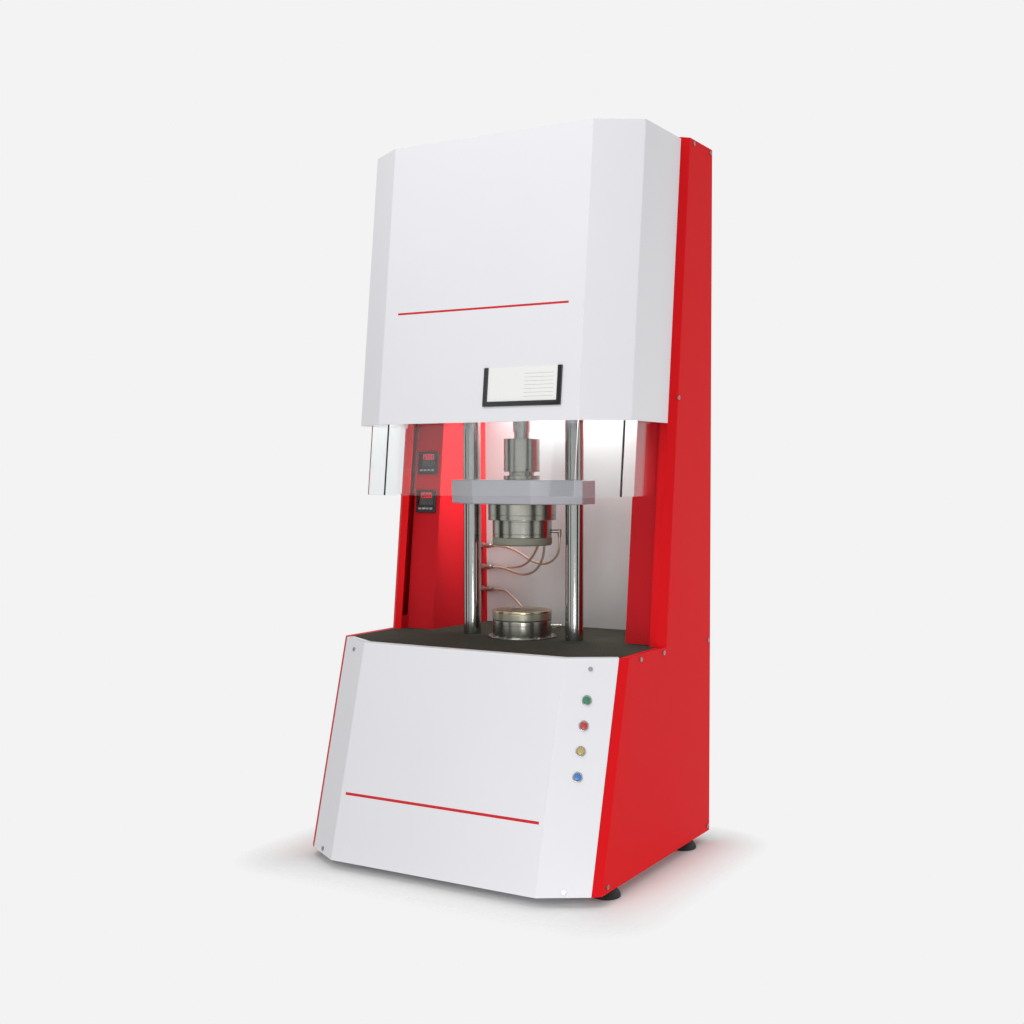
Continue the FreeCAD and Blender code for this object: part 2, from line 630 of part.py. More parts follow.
def faceted_sheet(half, fold, front, corner, wall, factor, tail=None):
    """Plan of a sheet bent round two corner facets, with optional side wings."""
    inner_fold = "(%s) - (%s) * (%s - 1) * ((%s) - (%s)) / ((%s) - (%s))" % (
        fold, wall, factor, half, fold, corner, front)
    skin = "(%s) * %s" % (wall, factor)
    if tail is None:
        return [("-(%s)" % half, corner), ("-(%s)" % fold, front), (fold, front), (half, corner),
                (half, "(%s) + %s" % (corner, skin)), (inner_fold, "(%s) + (%s)" % (front, wall)),
                ("-(%s)" % inner_fold, "(%s) + (%s)" % (front, wall)),
                ("-(%s)" % half, "(%s) + %s" % (corner, skin))]
    inner = "(%s) - (%s)" % (half, wall)
    bend = "(%s) + %s - (%s) * ((%s) - (%s)) / ((%s) - (%s))" % (
        corner, skin, wall, corner, front, half, fold)
    back = "(%s) + (%s)" % (front, wall)
    return [("-(%s)" % half, tail), ("-(%s)" % half, corner), ("-(%s)" % fold, front), (fold, front),
            (half, corner), (half, tail), (inner, tail), (inner, bend), (inner_fold, back),
            ("-(%s)" % inner_fold, back), ("-(%s)" % inner, bend), ("-(%s)" % inner, tail)]


def facet_normal():
    """Outward normal of the front panel's right-hand facet."""
    across = Vector(number("facet_wide"), number("facet_deep"), 0)
    normal = across.cross(Vector(0, number("base_slope"), 1))
    normal.normalize()
    return normal


def facet_y(x, z):
    """Outer face of the front panel's facets at a place."""
    return "(%s + ((%s) - %s) * facet_deep / facet_wide)" % (front_panel_y(z), x, FOLD_X)


def on_facet(thing, x, z, side=1):
    """Place a piece on the front panel's facet, its +Z along the outward normal."""
    normal = facet_normal()
    normal.x *= side
    thing.Placement = Placement(Vector(), Rotation(Vector(0, 0, 1), normal))
    bind(thing, Placement__Base__x="%d * (%s)" % (side, x), Placement__Base__y=facet_y(x, z))
    bind(thing, Placement__Base__z=z)
    return thing


def front_panel():
    """White panel of the base, bent round two facets, with a turned-in top lip."""
    body = new_body("front_panel")
    edge = PANEL_X + " - gap"
    corner = BASE_CORNER + " - gap * facet_deep / facet_wide"
    plan = faceted_sheet(edge, FOLD_X, BASE_FRONT, corner, "sheet", FACET_FACTOR)
    skin = outline(body, "XY_Plane", plan, "table_z")
    pad(body, skin, "table_z - foot_high", "-base_slope", downward=True)
    plan = faceted_sheet(edge, FOLD_X, BASE_FRONT, corner, "panel_lip", FACET_FACTOR)
    lip = outline(body, "XY_Plane", plan, "table_z")
    pad(body, lip, "sheet", downward=True)
    holes = []
    for index in range(4):
        hole = turned("hole", [("0", "-3 * sheet"), ("button_barrel / 2 + gap", "-3 * sheet"),
                               ("button_barrel / 2 + gap", "sheet"), ("0", "sheet")])
        holes.append(on_facet(hole, "button_x", "(button_top - %d * button_pitch)" % index))
    keep("front_panel", cut(body, holes))


def hood():
    """White hood over the chamber: front, facets, side wings and a top."""
    body = new_body("hood")
    tail = column_front("hood_low") + " - gap"
    plan = faceted_sheet(PANEL_X, FOLD_X, "hood_y", "hood_y + facet_deep", "sheet", FACET_FACTOR, tail)
    skin = outline(body, "XY_Plane", plan, "hood_low")
    pad(body, skin, "hood_top - hood_low", "lean")
    shift = " + lean * (hood_top - sheet - hood_low)"
    front, corner, rear = "hood_y" + shift, "hood_y + facet_deep" + shift, tail + shift
    lid = outline(body, "XY_Plane", [
        ("-" + PANEL_X, rear), ("-" + PANEL_X, corner), ("-" + FOLD_X, front), (FOLD_X, front),
        (PANEL_X, corner), (PANEL_X, rear)], "hood_top - sheet")
    pad(body, lid, "sheet", "lean")
    keep("hood", body)


def top_cover():
    """Flat cover behind the hood, with a turned-down front edge."""
    body = new_body("top_cover")
    front = column_front("height") + " + sheet + gap"
    edge, fold, corner = INSIDE_X + " - gap", PANEL_X + " - sheet / 2", front + " + bevel"
    plate = outline(body, "XY_Plane", [
        ("-(%s)" % fold, front), (fold, front), (edge, corner), (edge, REAR), ("-(%s)" % edge, REAR),
        ("-(%s)" % edge, corner)], "height - sheet")
    pad(body, plate, "sheet")
    inner = PANEL_X + " - flange"
    edge_fold = rectangle("-(%s)" % inner, inner, front, front + " + sheet")
    drop = outline(body, "XY_Plane", edge_fold, "height - sheet")
    pad(body, drop, "height - hood_top", downward=True)
    keep("top_cover", body)


def rear_panel():
    """Rear cover with louvre slots and a recessed connector pan."""
    body = new_body("rear_panel")
    edge = INSIDE_X + " - gap"
    skin = outline(body, "XZ_Plane", rectangle("-(%s)" % edge, edge, "foot_high", "height - sheet - gap"),
                   "-(%s)" % PANEL_BACK)
    pad(body, skin, "sheet")
    left, right = "recess_x - recess_wide / 2", "recess_x + recess_wide / 2"
    low, high = "recess_z - recess_high / 2", "recess_z + recess_high / 2"
    around_it = rectangle(left + " - sheet", right + " + sheet", low + " - sheet", high + " + sheet")
    pan = outline(body, "XZ_Plane", around_it, "-(%s)" % PANEL_BACK)
    pad(body, pan, "panel_recess + sheet")
    hollow = outline(body, "XZ_Plane", rectangle(left, right, low, high), "-(%s)" % PANEL_BACK)
    pocket(body, hollow, "panel_recess", reverse=True)
    slot = outline(body, "XZ_Plane", rectangle(
        "louvre_x", "louvre_x + louvre_wide", "louvre_z", "louvre_z + louvre_high"), "-(%s)" % PANEL_BACK)
    slots = pocket(body, slot, "2 * sheet", reverse=True)
    rows = body.newObject("PartDesign::LinearPattern", "Louvres")
    rows.Originals = [slots]
    rows.Direction = (slot, ["V_Axis"])
    bind(rows, Length="(louvre_rows - 1) * louvre_pitch")
    rows.Occurrences = int(number("louvre_rows"))
    body.Tip = rows
    doc.recompute()
    half_wide, half_high = "inlet_wide / 2 + gap", "inlet_high / 2 + gap"
    openings = [
        cylinder("air_x", PAN + " - 2 * sheet", "recess_z", "air_bore + air_wall + gap", "3 * sheet", "y"),
        box(("inlet_x - (%s)" % half_wide, "inlet_x + " + half_wide),
            (PAN + " - 2 * sheet", PAN + " + sheet"),
            ("recess_z - (%s)" % half_high, "recess_z + " + half_high)),
    ]
    keep("rear_panel", cut(body, openings))


def base_tray():
    """Floor plate that closes the base, on the side panels' lower flanges."""
    body = new_body("base_tray")
    level = "foot_high + sheet"
    front = front_panel_y(level) + " + 2 * sheet"
    edge = INSIDE_X + " - gap"
    behind = front_panel_y("foot_high") + " + facet_deep + bevel + return_flange"
    inner = PANEL_X + " - flange - gap"
    near, rear = behind + " - bevel - flange", FLANGE_FRONT + " - gap"
    plan = outline(body, "XY_Plane", [
        ("-(%s)" % edge, rear), ("-(%s)" % edge, behind), ("-(%s)" % inner, behind), ("-(%s)" % inner, near),
        ("-(%s)" % FOLD_X, front + " + sheet"), (FOLD_X, front + " + sheet"), (inner, near), (inner, behind),
        (edge, behind), (edge, rear)], level)
    pad(body, plan, "sheet")
    keep("base_tray", body)


def tower(side):
    """Hollow tower beside the chamber: leaning front, flared inner side, outer return."""
    body = new_body("tower")
    front = "column_y + tower_recess"
    plan = outline(body, "XY_Plane", [
        (side + "tower_out", front + " + return_flange"), (side + "tower_out", front),
        (side + "tower_in", front), (side + "tower_rear_in", "wall_y"),
        (side + "(tower_rear_in + sheet)", "wall_y"), (side + "(tower_in + sheet)", front + " + sheet"),
        (side + "(tower_out - sheet)", front + " + sheet"),
        (side + "(tower_out - sheet)", front + " + return_flange")], "table_z")
    pad(body, plan, "tower_top - table_z", "lean")
    rest = rectangle("wall_y - gap", "2 * wall_y", "table_z - gap", "tower_top + gap")
    behind = outline(body, "YZ_Plane", rest)
    pocket(body, behind, both=True)
    edge = side + "(" + PANEL_X + " - flange)"
    web = outline(body, "XY_Plane", [
        (edge, "column_y + sheet + gap"), (side + "tower_out", "column_y + sheet + gap"),
        (side + "tower_out", front + " + sheet"), (edge, front + " + sheet")], "table_z")
    pad(body, web, "slot_end", "lean")
    return body


def towers():
    """Right tower plain; left tower with controller and gland cut-outs."""
    keep("right_tower", tower(""))
    left = tower("-1 * ")
    half = "control_body / 2 + gap"
    holes = []
    for index in range(2):
        z = "(control_top - %d * control_pitch)" % index
        front = column_front(z) + " + tower_recess"
        holes.append(box(("-control_x - (%s)" % half, "-control_x + " + half),
                         (front + " - 5 * sheet", front + " + 5 * sheet"),
                         (z + " - (%s)" % half, z + " + " + half)))
    for z in ("gland_top", "gland_middle", "gland_bottom"):
        start, deep = "-tower_in - 5 * sheet", "tower_flare + 7 * sheet"
        holes.append(cylinder(start, "gland_y", z, "gland_bore / 2", deep, "x"))
    keep("left_tower", cut(left, holes))


def chamber_wall():
    """Brushed sheet behind the chamber, between the frame's uprights."""
    edge = "post_x - tube / 2 - gap"
    wall = box(("-(%s)" % edge, edge), ("wall_y", "wall_y + sheet"), (BED_TOP, "tower_top"))
    keep("chamber_back_wall", wall)


# Frame, table and feet

def tube(x, y, z, hollow_along):
    """Square frame tube, hollow along one axis."""
    outside = box(x, y, z)
    spans = [x, y, z]
    inner = []
    for axis, span in zip("xyz", spans):
        if axis == hollow_along:
            inner.append(span)
        else:
            inner.append((span[0] + " + tube_wall", span[1] + " - tube_wall"))
    return cut(outside, [box(*inner)])


def base_frame():
    """Welded tube frame: ring on the tray, posts, bed rails and tall uprights."""
    floor = TRAY_TOP
    bars = []
    rear_low, rear_high = FLANGE_FRONT + " - tube", FLANGE_FRONT
    front_low, front_high = "front_post_y - tube / 2", "front_post_y + tube / 2"
    top_low, top_high = "hood_top - sheet - tube", "hood_top - sheet"
    for side in ("", "-1 * "):
        rail = (side + "rail_x - tube / 2", side + "rail_x + tube / 2")
        post = (side + "post_x - tube / 2", side + "post_x + tube / 2")
        bars.append(tube(rail, ("foot_front - tube / 2", rear_high), (floor, floor + " + tube"), "y"))
        bars.append(tube(post, (front_low, front_high), (floor + " + tube", BED_LOW + " - tube"), "z"))
        bars.append(tube(post, (rear_low, rear_high), (floor + " + tube", top_low), "z"))
        bars.append(tube(post, (front_low, rear_low), (BED_LOW + " - tube", BED_LOW), "y"))
        bars.append(tube(post, ("die_y - tube", rear_high), (top_low, top_high), "y"))
    inner_rail = "rail_x - tube / 2"
    inner_post = "post_x - tube / 2"
    for low, high in ((front_low, front_high), (rear_low, rear_high)):
        bars.append(tube(("-(%s)" % inner_rail, inner_rail), (low, high), (floor, floor + " + tube"), "x"))
    across = ("-(%s)" % inner_post, inner_post)
    bars.append(tube(across, (front_low, front_high), (BED_LOW + " - tube", BED_LOW), "x"))
    bars.append(tube(across, ("die_y - tube", "die_y"), (top_low, top_high), "x"))
    bars.append(tube(across, (rear_low, rear_high), (top_low, top_high), "x"))
    keep("base_frame", fuse(bars))


def bed_plate():
    """Thick plate on the frame that carries the pillars and the lower die."""
    body = new_body("bed_plate")
    half = "post_x + tube / 2"
    rear = FLANGE_FRONT + " - tube - gap"
    front = "front_post_y - tube / 2"
    plan = outline(body, "XY_Plane", [
        ("-(%s)" % half, rear), ("-(%s)" % half, front + " + tube"), ("-(%s - tube)" % half, front),
        ("%s - tube" % half, front), (half, front + " + tube"), (half, rear)], BED_LOW)
    pad(body, plan, "bed_thick")
    bores = circles(body, "XY_Plane", PILLARS, "spigot_dia / 2 + gap", BED_TOP)
    pocket(body, bores, "2 * bed_thick")
    centre = circles(body, "XY_Plane", [("0", "die_y")], "shaft_dia / 2 + shaft_room", BED_TOP)
    pocket(body, centre, "2 * bed_thick")
    keep("bed_plate", body)


def table_mat():
    """Dark textured table top, notched round the uprights and bored for the pillars."""
    body = new_body("table_mat")
    edge = PANEL_X + " - gap"
    front = BASE_FRONT + " + panel_lip + gap"
    corner = BASE_CORNER + " + panel_lip * %s + gap" % FACET_FACTOR
    fold = FOLD_X + " - panel_lip * (%s - 1) * facet_wide / facet_deep" % FACET_FACTOR
    notch_x = "post_x - tube / 2 - gap"
    notch_y = FLANGE_FRONT + " - tube - gap"
    plan = outline(body, "XY_Plane", [
        ("-(%s)" % edge, notch_y), ("-(%s)" % edge, corner), ("-(%s)" % fold, front), (fold, front),
        (edge, corner), (edge, notch_y), (notch_x, notch_y), (notch_x, "wall_y - gap"),
        ("-(%s)" % notch_x, "wall_y - gap"), ("-(%s)" % notch_x, notch_y)], BED_TOP)
    pad(body, plan, "mat_thick")
    bores = circles(body, "XY_Plane", PILLARS, "pillar_dia / 2 + gap", "table_z")
    pocket(body, bores, "2 * mat_thick")
    centre = circles(body, "XY_Plane", [("0", "die_y")], "shaft_dia / 2 + shaft_room", "table_z")
    pocket(body, centre, "2 * mat_thick")
    keep("table_mat", body)


def feet():
    """Four rubber feet under the frame's corners."""
    made = []
    collar = "foot_high - foot_collar"
    for x in ("rail_x", "-rail_x"):
        for y in ("foot_front", "foot_rear"):
            foot = turned("foot", [
                ("0", "0"), ("foot_radius - edge_break", "0"), ("foot_radius", "edge_break"),
                ("foot_radius", "foot_rim"), ("foot_shoulder", collar), ("foot_neck", collar),
                ("foot_neck", "foot_high"), ("0", "foot_high")], x, y)
            made.append(foot)
    keep("feet", group(made))


# Pillars, head plate and air cylinder

def pillars():
    """Two ground guide pillars with threaded ends, and their nuts."""
    end, shank = "spigot_dia / 2", "pillar_dia / 2"
    low, high = BED_TOP + " - spigot_long", "head_z + spigot_long"
    nuts = []
    for name, (x, y) in zip(("left_pillar", "right_pillar"), PILLARS):
        keep(name, turned(name, [
            ("0", low), (end + " - edge_break", low), (end, low + " + edge_break"), (end, BED_TOP),
            (shank, BED_TOP), (shank, "head_z"), (end, "head_z"), (end, high + " - edge_break"),
            (end + " - edge_break", high), ("0", high)], x, y))
        for z in (BED_LOW + " - nut_high", HEAD_TOP):
            nut = hexagon(x, y, z, "nut_flats", "nut_high")
            nuts.append(cut(nut, [cylinder(x, y, z, "spigot_dia / 2 + slide_gap", "nut_high")]))
    keep("pillar_nuts", group(nuts))


def head_plate():
    """Plate across the pillars that carries the air cylinder."""
    body = new_body("head_plate")
    corner = "nut_flats / 2"
    low, high = "die_y - head_deep", "die_y + head_deep"
    plan = outline(body, "XY_Plane", [
        ("-head_wide", low + " + " + corner), ("-head_wide + " + corner, low),
        ("head_wide - " + corner, low), ("head_wide", low + " + " + corner),
        ("head_wide", high + " - " + corner), ("head_wide - " + corner, high),
        ("-head_wide + " + corner, high), ("-head_wide", high + " - " + corner)], "head_z")
    pad(body, plan, "head_thick")
    bores = circles(body, "XY_Plane", PILLARS, "spigot_dia / 2 + gap", HEAD_TOP)
    pocket(body, bores, "2 * head_thick")
    centre = circles(body, "XY_Plane", [("0", "die_y")], "rod_dia / 2 + shaft_room", HEAD_TOP)
    pocket(body, centre, "2 * head_thick")
    keep("head_plate", body)


def air_cylinder():
    """Barrel, two square end caps and four tie rods with nuts."""
    keep("cylinder_barrel", turned("cylinder_barrel", [
        ("bore_dia / 2", CYLINDER_LOW), ("bore_dia / 2 + barrel_wall", CYLINDER_LOW),
        ("bore_dia / 2 + barrel_wall", CYLINDER_TOP), ("bore_dia / 2", CYLINDER_TOP)]))
    caps = []
    for index, low in enumerate((HEAD_TOP, CYLINDER_TOP)):
        body = new_body("cylinder_cap")
        plan = outline(body, "XY_Plane", square("cap_side / 2"), low)
        pad(body, plan, "cap_thick")
        ties = circles(body, "XY_Plane", [
            ("tie_offset", "tie_offset"), ("-tie_offset", "tie_offset"),
            ("-tie_offset", "-tie_offset"), ("tie_offset", "-tie_offset")], "tie_dia / 2 + slide_gap", low)
        pocket(body, ties, "cap_thick", reverse=True)
        if index == 0:
            rod_hole = circles(body, "XY_Plane", [("0", "0")], "rod_dia / 2 + slide_gap", low)
            pocket(body, rod_hole, "cap_thick", reverse=True)
        bind(body, Placement__Base__y="die_y")
        caps.append(body)
    keep("cylinder_caps", group(caps))
    rods = []
    top = CYLINDER_TOP + " + cap_thick"
    for x in ("tie_offset", "-tie_offset"):
        for y in ("die_y + tie_offset", "die_y - tie_offset"):
            stud = cylinder(x, y, HEAD_TOP, "tie_dia / 2", "(%s) - (%s) + tie_dia" % (top, HEAD_TOP))
            rods.append(fuse([stud, hexagon(x, y, top, "1.7 * tie_dia", "0.8 * tie_dia")]))
    keep("tie_rods", group(rods))


def piston_rod():
    """Piston, rod, neck and the end held in the coupling, in one piece."""
    keep("piston_rod", turned("piston_rod", [
        ("0", COUPLING_TOP + " - rod_socket"), ("rod_end_dia / 2", COUPLING_TOP + " - rod_socket"),
        ("rod_end_dia / 2", COUPLING_TOP), ("rod_neck_dia / 2", COUPLING_TOP),
        ("rod_neck_dia / 2", COUPLING_TOP + " + rod_neck"),
        ("rod_dia / 2 - edge_break / 2", COUPLING_TOP + " + rod_neck"),
        ("rod_dia / 2", COUPLING_TOP + " + rod_neck + edge_break / 2"),
        ("rod_dia / 2", PISTON_TOP + " - piston_thick"),
        ("bore_dia / 2 - slide_gap", PISTON_TOP + " - piston_thick"),
        ("bore_dia / 2 - slide_gap", PISTON_TOP), ("0", PISTON_TOP)]))


# Crosshead

def edges_where(feature, test):
    """Names of a feature's edges whose every end passes a test."""
    doc.recompute()
    found = []
    for index, edge in enumerate(feature.Shape.Edges, start=1):
        if all(test(corner.Point) for corner in edge.Vertexes):
            found.append("Edge%d" % index)
    return found


def chamfer(body, feature, names, size):
    """Chamfer the named edges of a body's last feature."""
    made = body.newObject("PartDesign::Chamfer", "Chamfer")
    made.Base = (feature, names)
    bind(made, Size=size)
    return made


def crosshead():
    """Faceted plate with broken edges, on two bronze guide bushes."""
    body = new_body("crosshead_plate")
    low, high = "die_y - plate_deep", "die_y + plate_deep"
    side_low, side_high = "die_y - plate_facet_y", "die_y + plate_facet_y"
    plan = outline(body, "XY_Plane", [
        ("-plate_wide", side_low), ("-plate_facet_x", low), ("plate_facet_x", low),
        ("plate_wide", side_low), ("plate_wide", side_high), ("plate_facet_x", high),
        ("-plate_facet_x", high), ("-plate_wide", side_high)], CELL_TOP)
    plate = pad(body, plan, "plate_thick")
    levels = (number(CELL_TOP), number(PLATE_TOP))
    rims = edges_where(plate, lambda point: min(abs(point.z - level) for level in levels) < TOUCH)
    chamfer(body, plate, rims, "edge_break")
    bores = circles(body, "XY_Plane", PILLARS, "bush_dia / 2 + fit_gap", PLATE_TOP)
    pocket(body, bores, "2 * plate_thick")
    keep("crosshead_plate", body)
    bushes = []
    inside, outside = "pillar_dia / 2 + slide_gap", "bush_dia / 2"
    low, high = CELL_TOP + " + edge_break", PLATE_TOP + " - edge_break"
    section = rectangle(inside, outside, low, high)
    for x, y in PILLARS:
        bushes.append(turned("guide_bush", section, x, y))
    keep("guide_bushes", group(bushes))


def rod_coupling():
    """Coupling between crosshead and rod: foot, neck and a barrel with two joint lines."""
    wide, neck, bore = "coupling_dia / 2", "coupling_neck_dia / 2", "rod_end_dia / 2 + fit_gap"
    profile = [("0", PLATE_TOP), (wide, PLATE_TOP), (wide, NECK_LOW), (neck, NECK_LOW), (neck, BARREL_LOW),
               (wide, BARREL_LOW)]
    for line in ("coupling_band", "coupling_band + coupling_ring"):
        level = "%s + %s" % (BARREL_LOW, line)
        profile += [(wide, level), (wide + " - joint_line", level),
                    (wide + " - joint_line", level + " + joint_line"), (wide, level + " + joint_line")]
    profile += [(wide, COUPLING_TOP + " - edge_break"), (wide + " - edge_break", COUPLING_TOP),
                (bore, COUPLING_TOP), (bore, COUPLING_TOP + " - rod_socket"),
                ("0", COUPLING_TOP + " - rod_socket")]
    barrel = turned("rod_coupling", profile)
    holes = []
    for quarter in range(4):
        hole = cylinder("0", "die_y", BARREL_LOW + " + coupling_band / 2", "spanner_hole / 2", "coupling_dia",
                        Rotation(Vector(0, 0, 1), 45 + 90 * quarter) * TURNS["x"])
        holes.append(hole)
    core = cylinder("0", "die_y", BARREL_LOW, "coupling_dia / 2 - spanner_hole", "coupling_band")
    keep("rod_coupling", cut(barrel, [cut(fuse(holes), [core])]))


def upper_die_stack():
    """Torque cell, heater block, seal ring and die, hung from the plate."""
    cell, hollow, floor = "cell_dia / 2", "cell_dia / 2 - cell_wall", HEATER_TOP + " + cell_wall"
    hub, neck = "flexure_hub / 2", "flexure_neck / 2"
    keep("torque_cell_housing", turned("torque_cell_housing", [
        ("0", HEATER_TOP), (cell + " - edge_break", HEATER_TOP), (cell, HEATER_TOP + " + edge_break"),
        (cell, CELL_TOP), (hollow, CELL_TOP), (hollow, floor), (neck, floor),
        (neck, CELL_TOP + " - cell_wall"), (hub, CELL_TOP + " - cell_wall"), (hub, CELL_TOP), ("0", CELL_TOP)]))
    block = "heater_dia / 2"
    keep("upper_heater_block", turned("upper_heater_block", [
        ("0", UPPER_SEAL_TOP), (block + " - edge_break", UPPER_SEAL_TOP),
        (block, UPPER_SEAL_TOP + " + edge_break"), (block, HEATER_TOP), ("0", HEATER_TOP)]))
    inner, outer = "holder_dia / 2 + fit_gap", "seal_dia / 2"
    keep("upper_seal_ring", turned("upper_seal_ring", [
        (inner, UPPER_FACE), (outer + " - seal_round", UPPER_FACE), (outer, UPPER_FACE + " + seal_round"),
        (outer, UPPER_SEAL_TOP + " - seal_round / 2"), (outer + " - seal_round / 2", UPPER_SEAL_TOP),
        (inner, UPPER_SEAL_TOP)]))
    keep("upper_die", turned("upper_die", [
        ("0", UPPER_FACE + " + cavity_deep"), ("cavity_dia / 2", UPPER_FACE + " + cavity_deep / 2"),
        ("cavity_dia / 2", UPPER_FACE), ("holder_dia / 2", UPPER_FACE), ("holder_dia / 2", UPPER_SEAL_TOP),
        ("0", UPPER_SEAL_TOP)]))


def lower_die_stack():
    """Fixed guard ring, and the holder, seal ring, die and shaft that oscillate."""
    guard, inside, flange = "guard_dia / 2", "guard_dia / 2 - guard_wall", "guard_flange_dia / 2"
    ring = turned("lower_guard_ring", [
        (inside, "table_z"), (flange + " - edge_break", "table_z"), (flange, "table_z + edge_break"),
        (flange, "table_z + guard_flange_high"), (guard, "table_z + guard_flange_high"),
        (guard, GUARD_TOP + " - edge_break"), (guard + " - edge_break", GUARD_TOP), (inside, GUARD_TOP)])
    nozzles = []
    for angle, reach in ((NOZZLE_ANGLE, "nozzle_long"), (SENSOR_ANGLE, "sensor_long")):
        turn = Rotation(Vector(0, 0, 1), angle) * TURNS["x"]
        nozzle = cylinder("0", "die_y", "nozzle_z", "fitting_dia / 2", "guard_dia / 2 + " + reach, turn)
        nozzles.append(nozzle)
    core = cylinder("0", "die_y", "table_z", inside, "2 * guard_high")
    keep("lower_guard_ring", fuse([ring, cut(fuse(nozzles), [core])]))
    holder = "holder_dia / 2"
    low = "table_z + holder_gap"
    keep("lower_die_holder", turned("lower_die_holder", [
        ("0", low), (holder + " - edge_break", low), (holder, low + " + edge_break"),
        (holder, LOWER_SEAL_TOP), ("0", LOWER_SEAL_TOP)]))
    inner, outer = "holder_dia / 2 + fit_gap", "seal_dia / 2"
    keep("lower_seal_ring", turned("lower_seal_ring", [
        (inner, LOWER_SEAL_LOW), (outer + " - seal_round / 2", LOWER_SEAL_LOW),
        (outer, LOWER_SEAL_LOW + " + seal_round / 2"), (outer, LOWER_SEAL_TOP + " - seal_round / 2"),
        (outer + " - seal_round / 2", LOWER_SEAL_TOP), (inner, LOWER_SEAL_TOP)]))
    die = "die_dia / 2"
    keep("lower_die", turned("lower_die", [
        ("0", LOWER_SEAL_TOP), (die, LOWER_SEAL_TOP), (die, LOWER_FACE),
        (holder + " + joint_line", LOWER_FACE), (holder + " + joint_line", LOWER_FACE + " - joint_line"),
        (holder, LOWER_FACE + " - joint_line"), (holder, LOWER_FACE), ("cavity_dia / 2", LOWER_FACE),
        ("cavity_dia / 2", LOWER_FACE + " - cavity_deep / 2"), ("0", LOWER_FACE + " - cavity_deep")]))
    keep("drive_shaft", turned("drive_shaft", [
        ("0", HOUSING_LOW + " - motor_socket"), ("motor_shaft / 2", HOUSING_LOW + " - motor_socket"),
        ("motor_shaft / 2", HOUSING_LOW + " + bearing_lip"),
        ("shaft_dia / 2", HOUSING_LOW + " + bearing_lip"), ("shaft_dia / 2", low), ("0", low)]))


def drive():
    """Bearing housing under the bed, two bearings and the servo motor."""
    bore, flange = "bearing_dia / 2", "housing_flange / 2"
    keep("bearing_housing", turned("bearing_housing", [
        (bore + " - bearing_lip", HOUSING_LOW), ("housing_dia / 2", HOUSING_LOW),
        ("housing_dia / 2", BED_LOW + " - housing_flange_thick"),
        (flange, BED_LOW + " - housing_flange_thick"), (flange, BED_LOW), (bore, BED_LOW),
        (bore, HOUSING_LOW + " + bearing_lip"),
        (bore + " - bearing_lip", HOUSING_LOW + " + bearing_lip")]))
    races = []
    for low in (HOUSING_LOW + " + bearing_lip", BED_LOW + " - bearing_wide"):
        races.append(turned("bearing", rectangle(
            "shaft_dia / 2 + run_fit", bore + " - fit_gap", low, low + " + bearing_wide")))
    keep("shaft_bearings", group(races))
    body = new_body("servo_motor")
    half, corner = "motor_side / 2", "motor_side / 2 - 4 * edge_break"
    plan = outline(body, "XY_Plane", [
        ("-" + half, "-(%s)" % corner), ("-(%s)" % corner, "-" + half), (corner, "-" + half),
        (half, "-(%s)" % corner), (half, corner), (corner, half), ("-(%s)" % corner, half),
        ("-" + half, corner)],
        HOUSING_LOW + " - motor_long")
    pad(body, plan, "motor_long")
    bore = circles(body, "XY_Plane", [("0", "0")], "motor_shaft / 2 + run_fit", HOUSING_LOW)
    pocket(body, bore, "motor_socket + holder_gap")
    plug = rectangle("-motor_side / 4", "motor_side / 4", half, "%s + motor_side / 3" % half)
    box_plan = outline(body, "XY_Plane", plug, HOUSING_LOW + " - motor_long")
    pad(body, box_plan, "motor_side / 2")
    bind(body, Placement__Base__y="die_y")
    keep("servo_motor", body)
    electronics = new_body("electronics_box")
    plan = outline(electronics, "XY_Plane", rectangle(
        "-box_x - box_wide / 2", "-box_x + box_wide / 2", "-box_deep / 2", "box_deep / 2"), TRAY_TOP)
    case = pad(electronics, plan, "box_high")
    top = number(TRAY_TOP + " + box_high")
    rims = edges_where(case, lambda point: abs(point.z - top) < TOUCH)
    chamfer(electronics, case, rims, "2 * edge_break")
    keep("electronics_box", electronics)


# Shield and its lift

def shield_y(z):
    """Front face of the shield sheet at a height, when raised."""
    return "(%s + shield_inset)" % hood_front(z)


def sloped_group(name, makers):
    """A right-hand piece and its mirror image as one node."""
    keep(name, group([makers, mirrored(makers)]))


def shield():
    """Clear sheet bent round the front of the chamber, with wings into the slots."""
    body = new_body("shield")
    front = shield_y("shield_low")
    facet = "(shield_out - shield_fold)"
    factor = "(sqrt(pow(%s; 2) + pow(shield_facet_deep; 2)) / %s)" % (facet, facet)
    plan = faceted_sheet("shield_out", "shield_fold", front, front + " + shield_facet_deep", "shield_thick",
                         factor, column_front("shield_low") + " + shield_tail")
    skin = outline(body, "XY_Plane", plan, "shield_low")
    pad(body, skin, "shield_high", "lean")
    keep("shield", body)


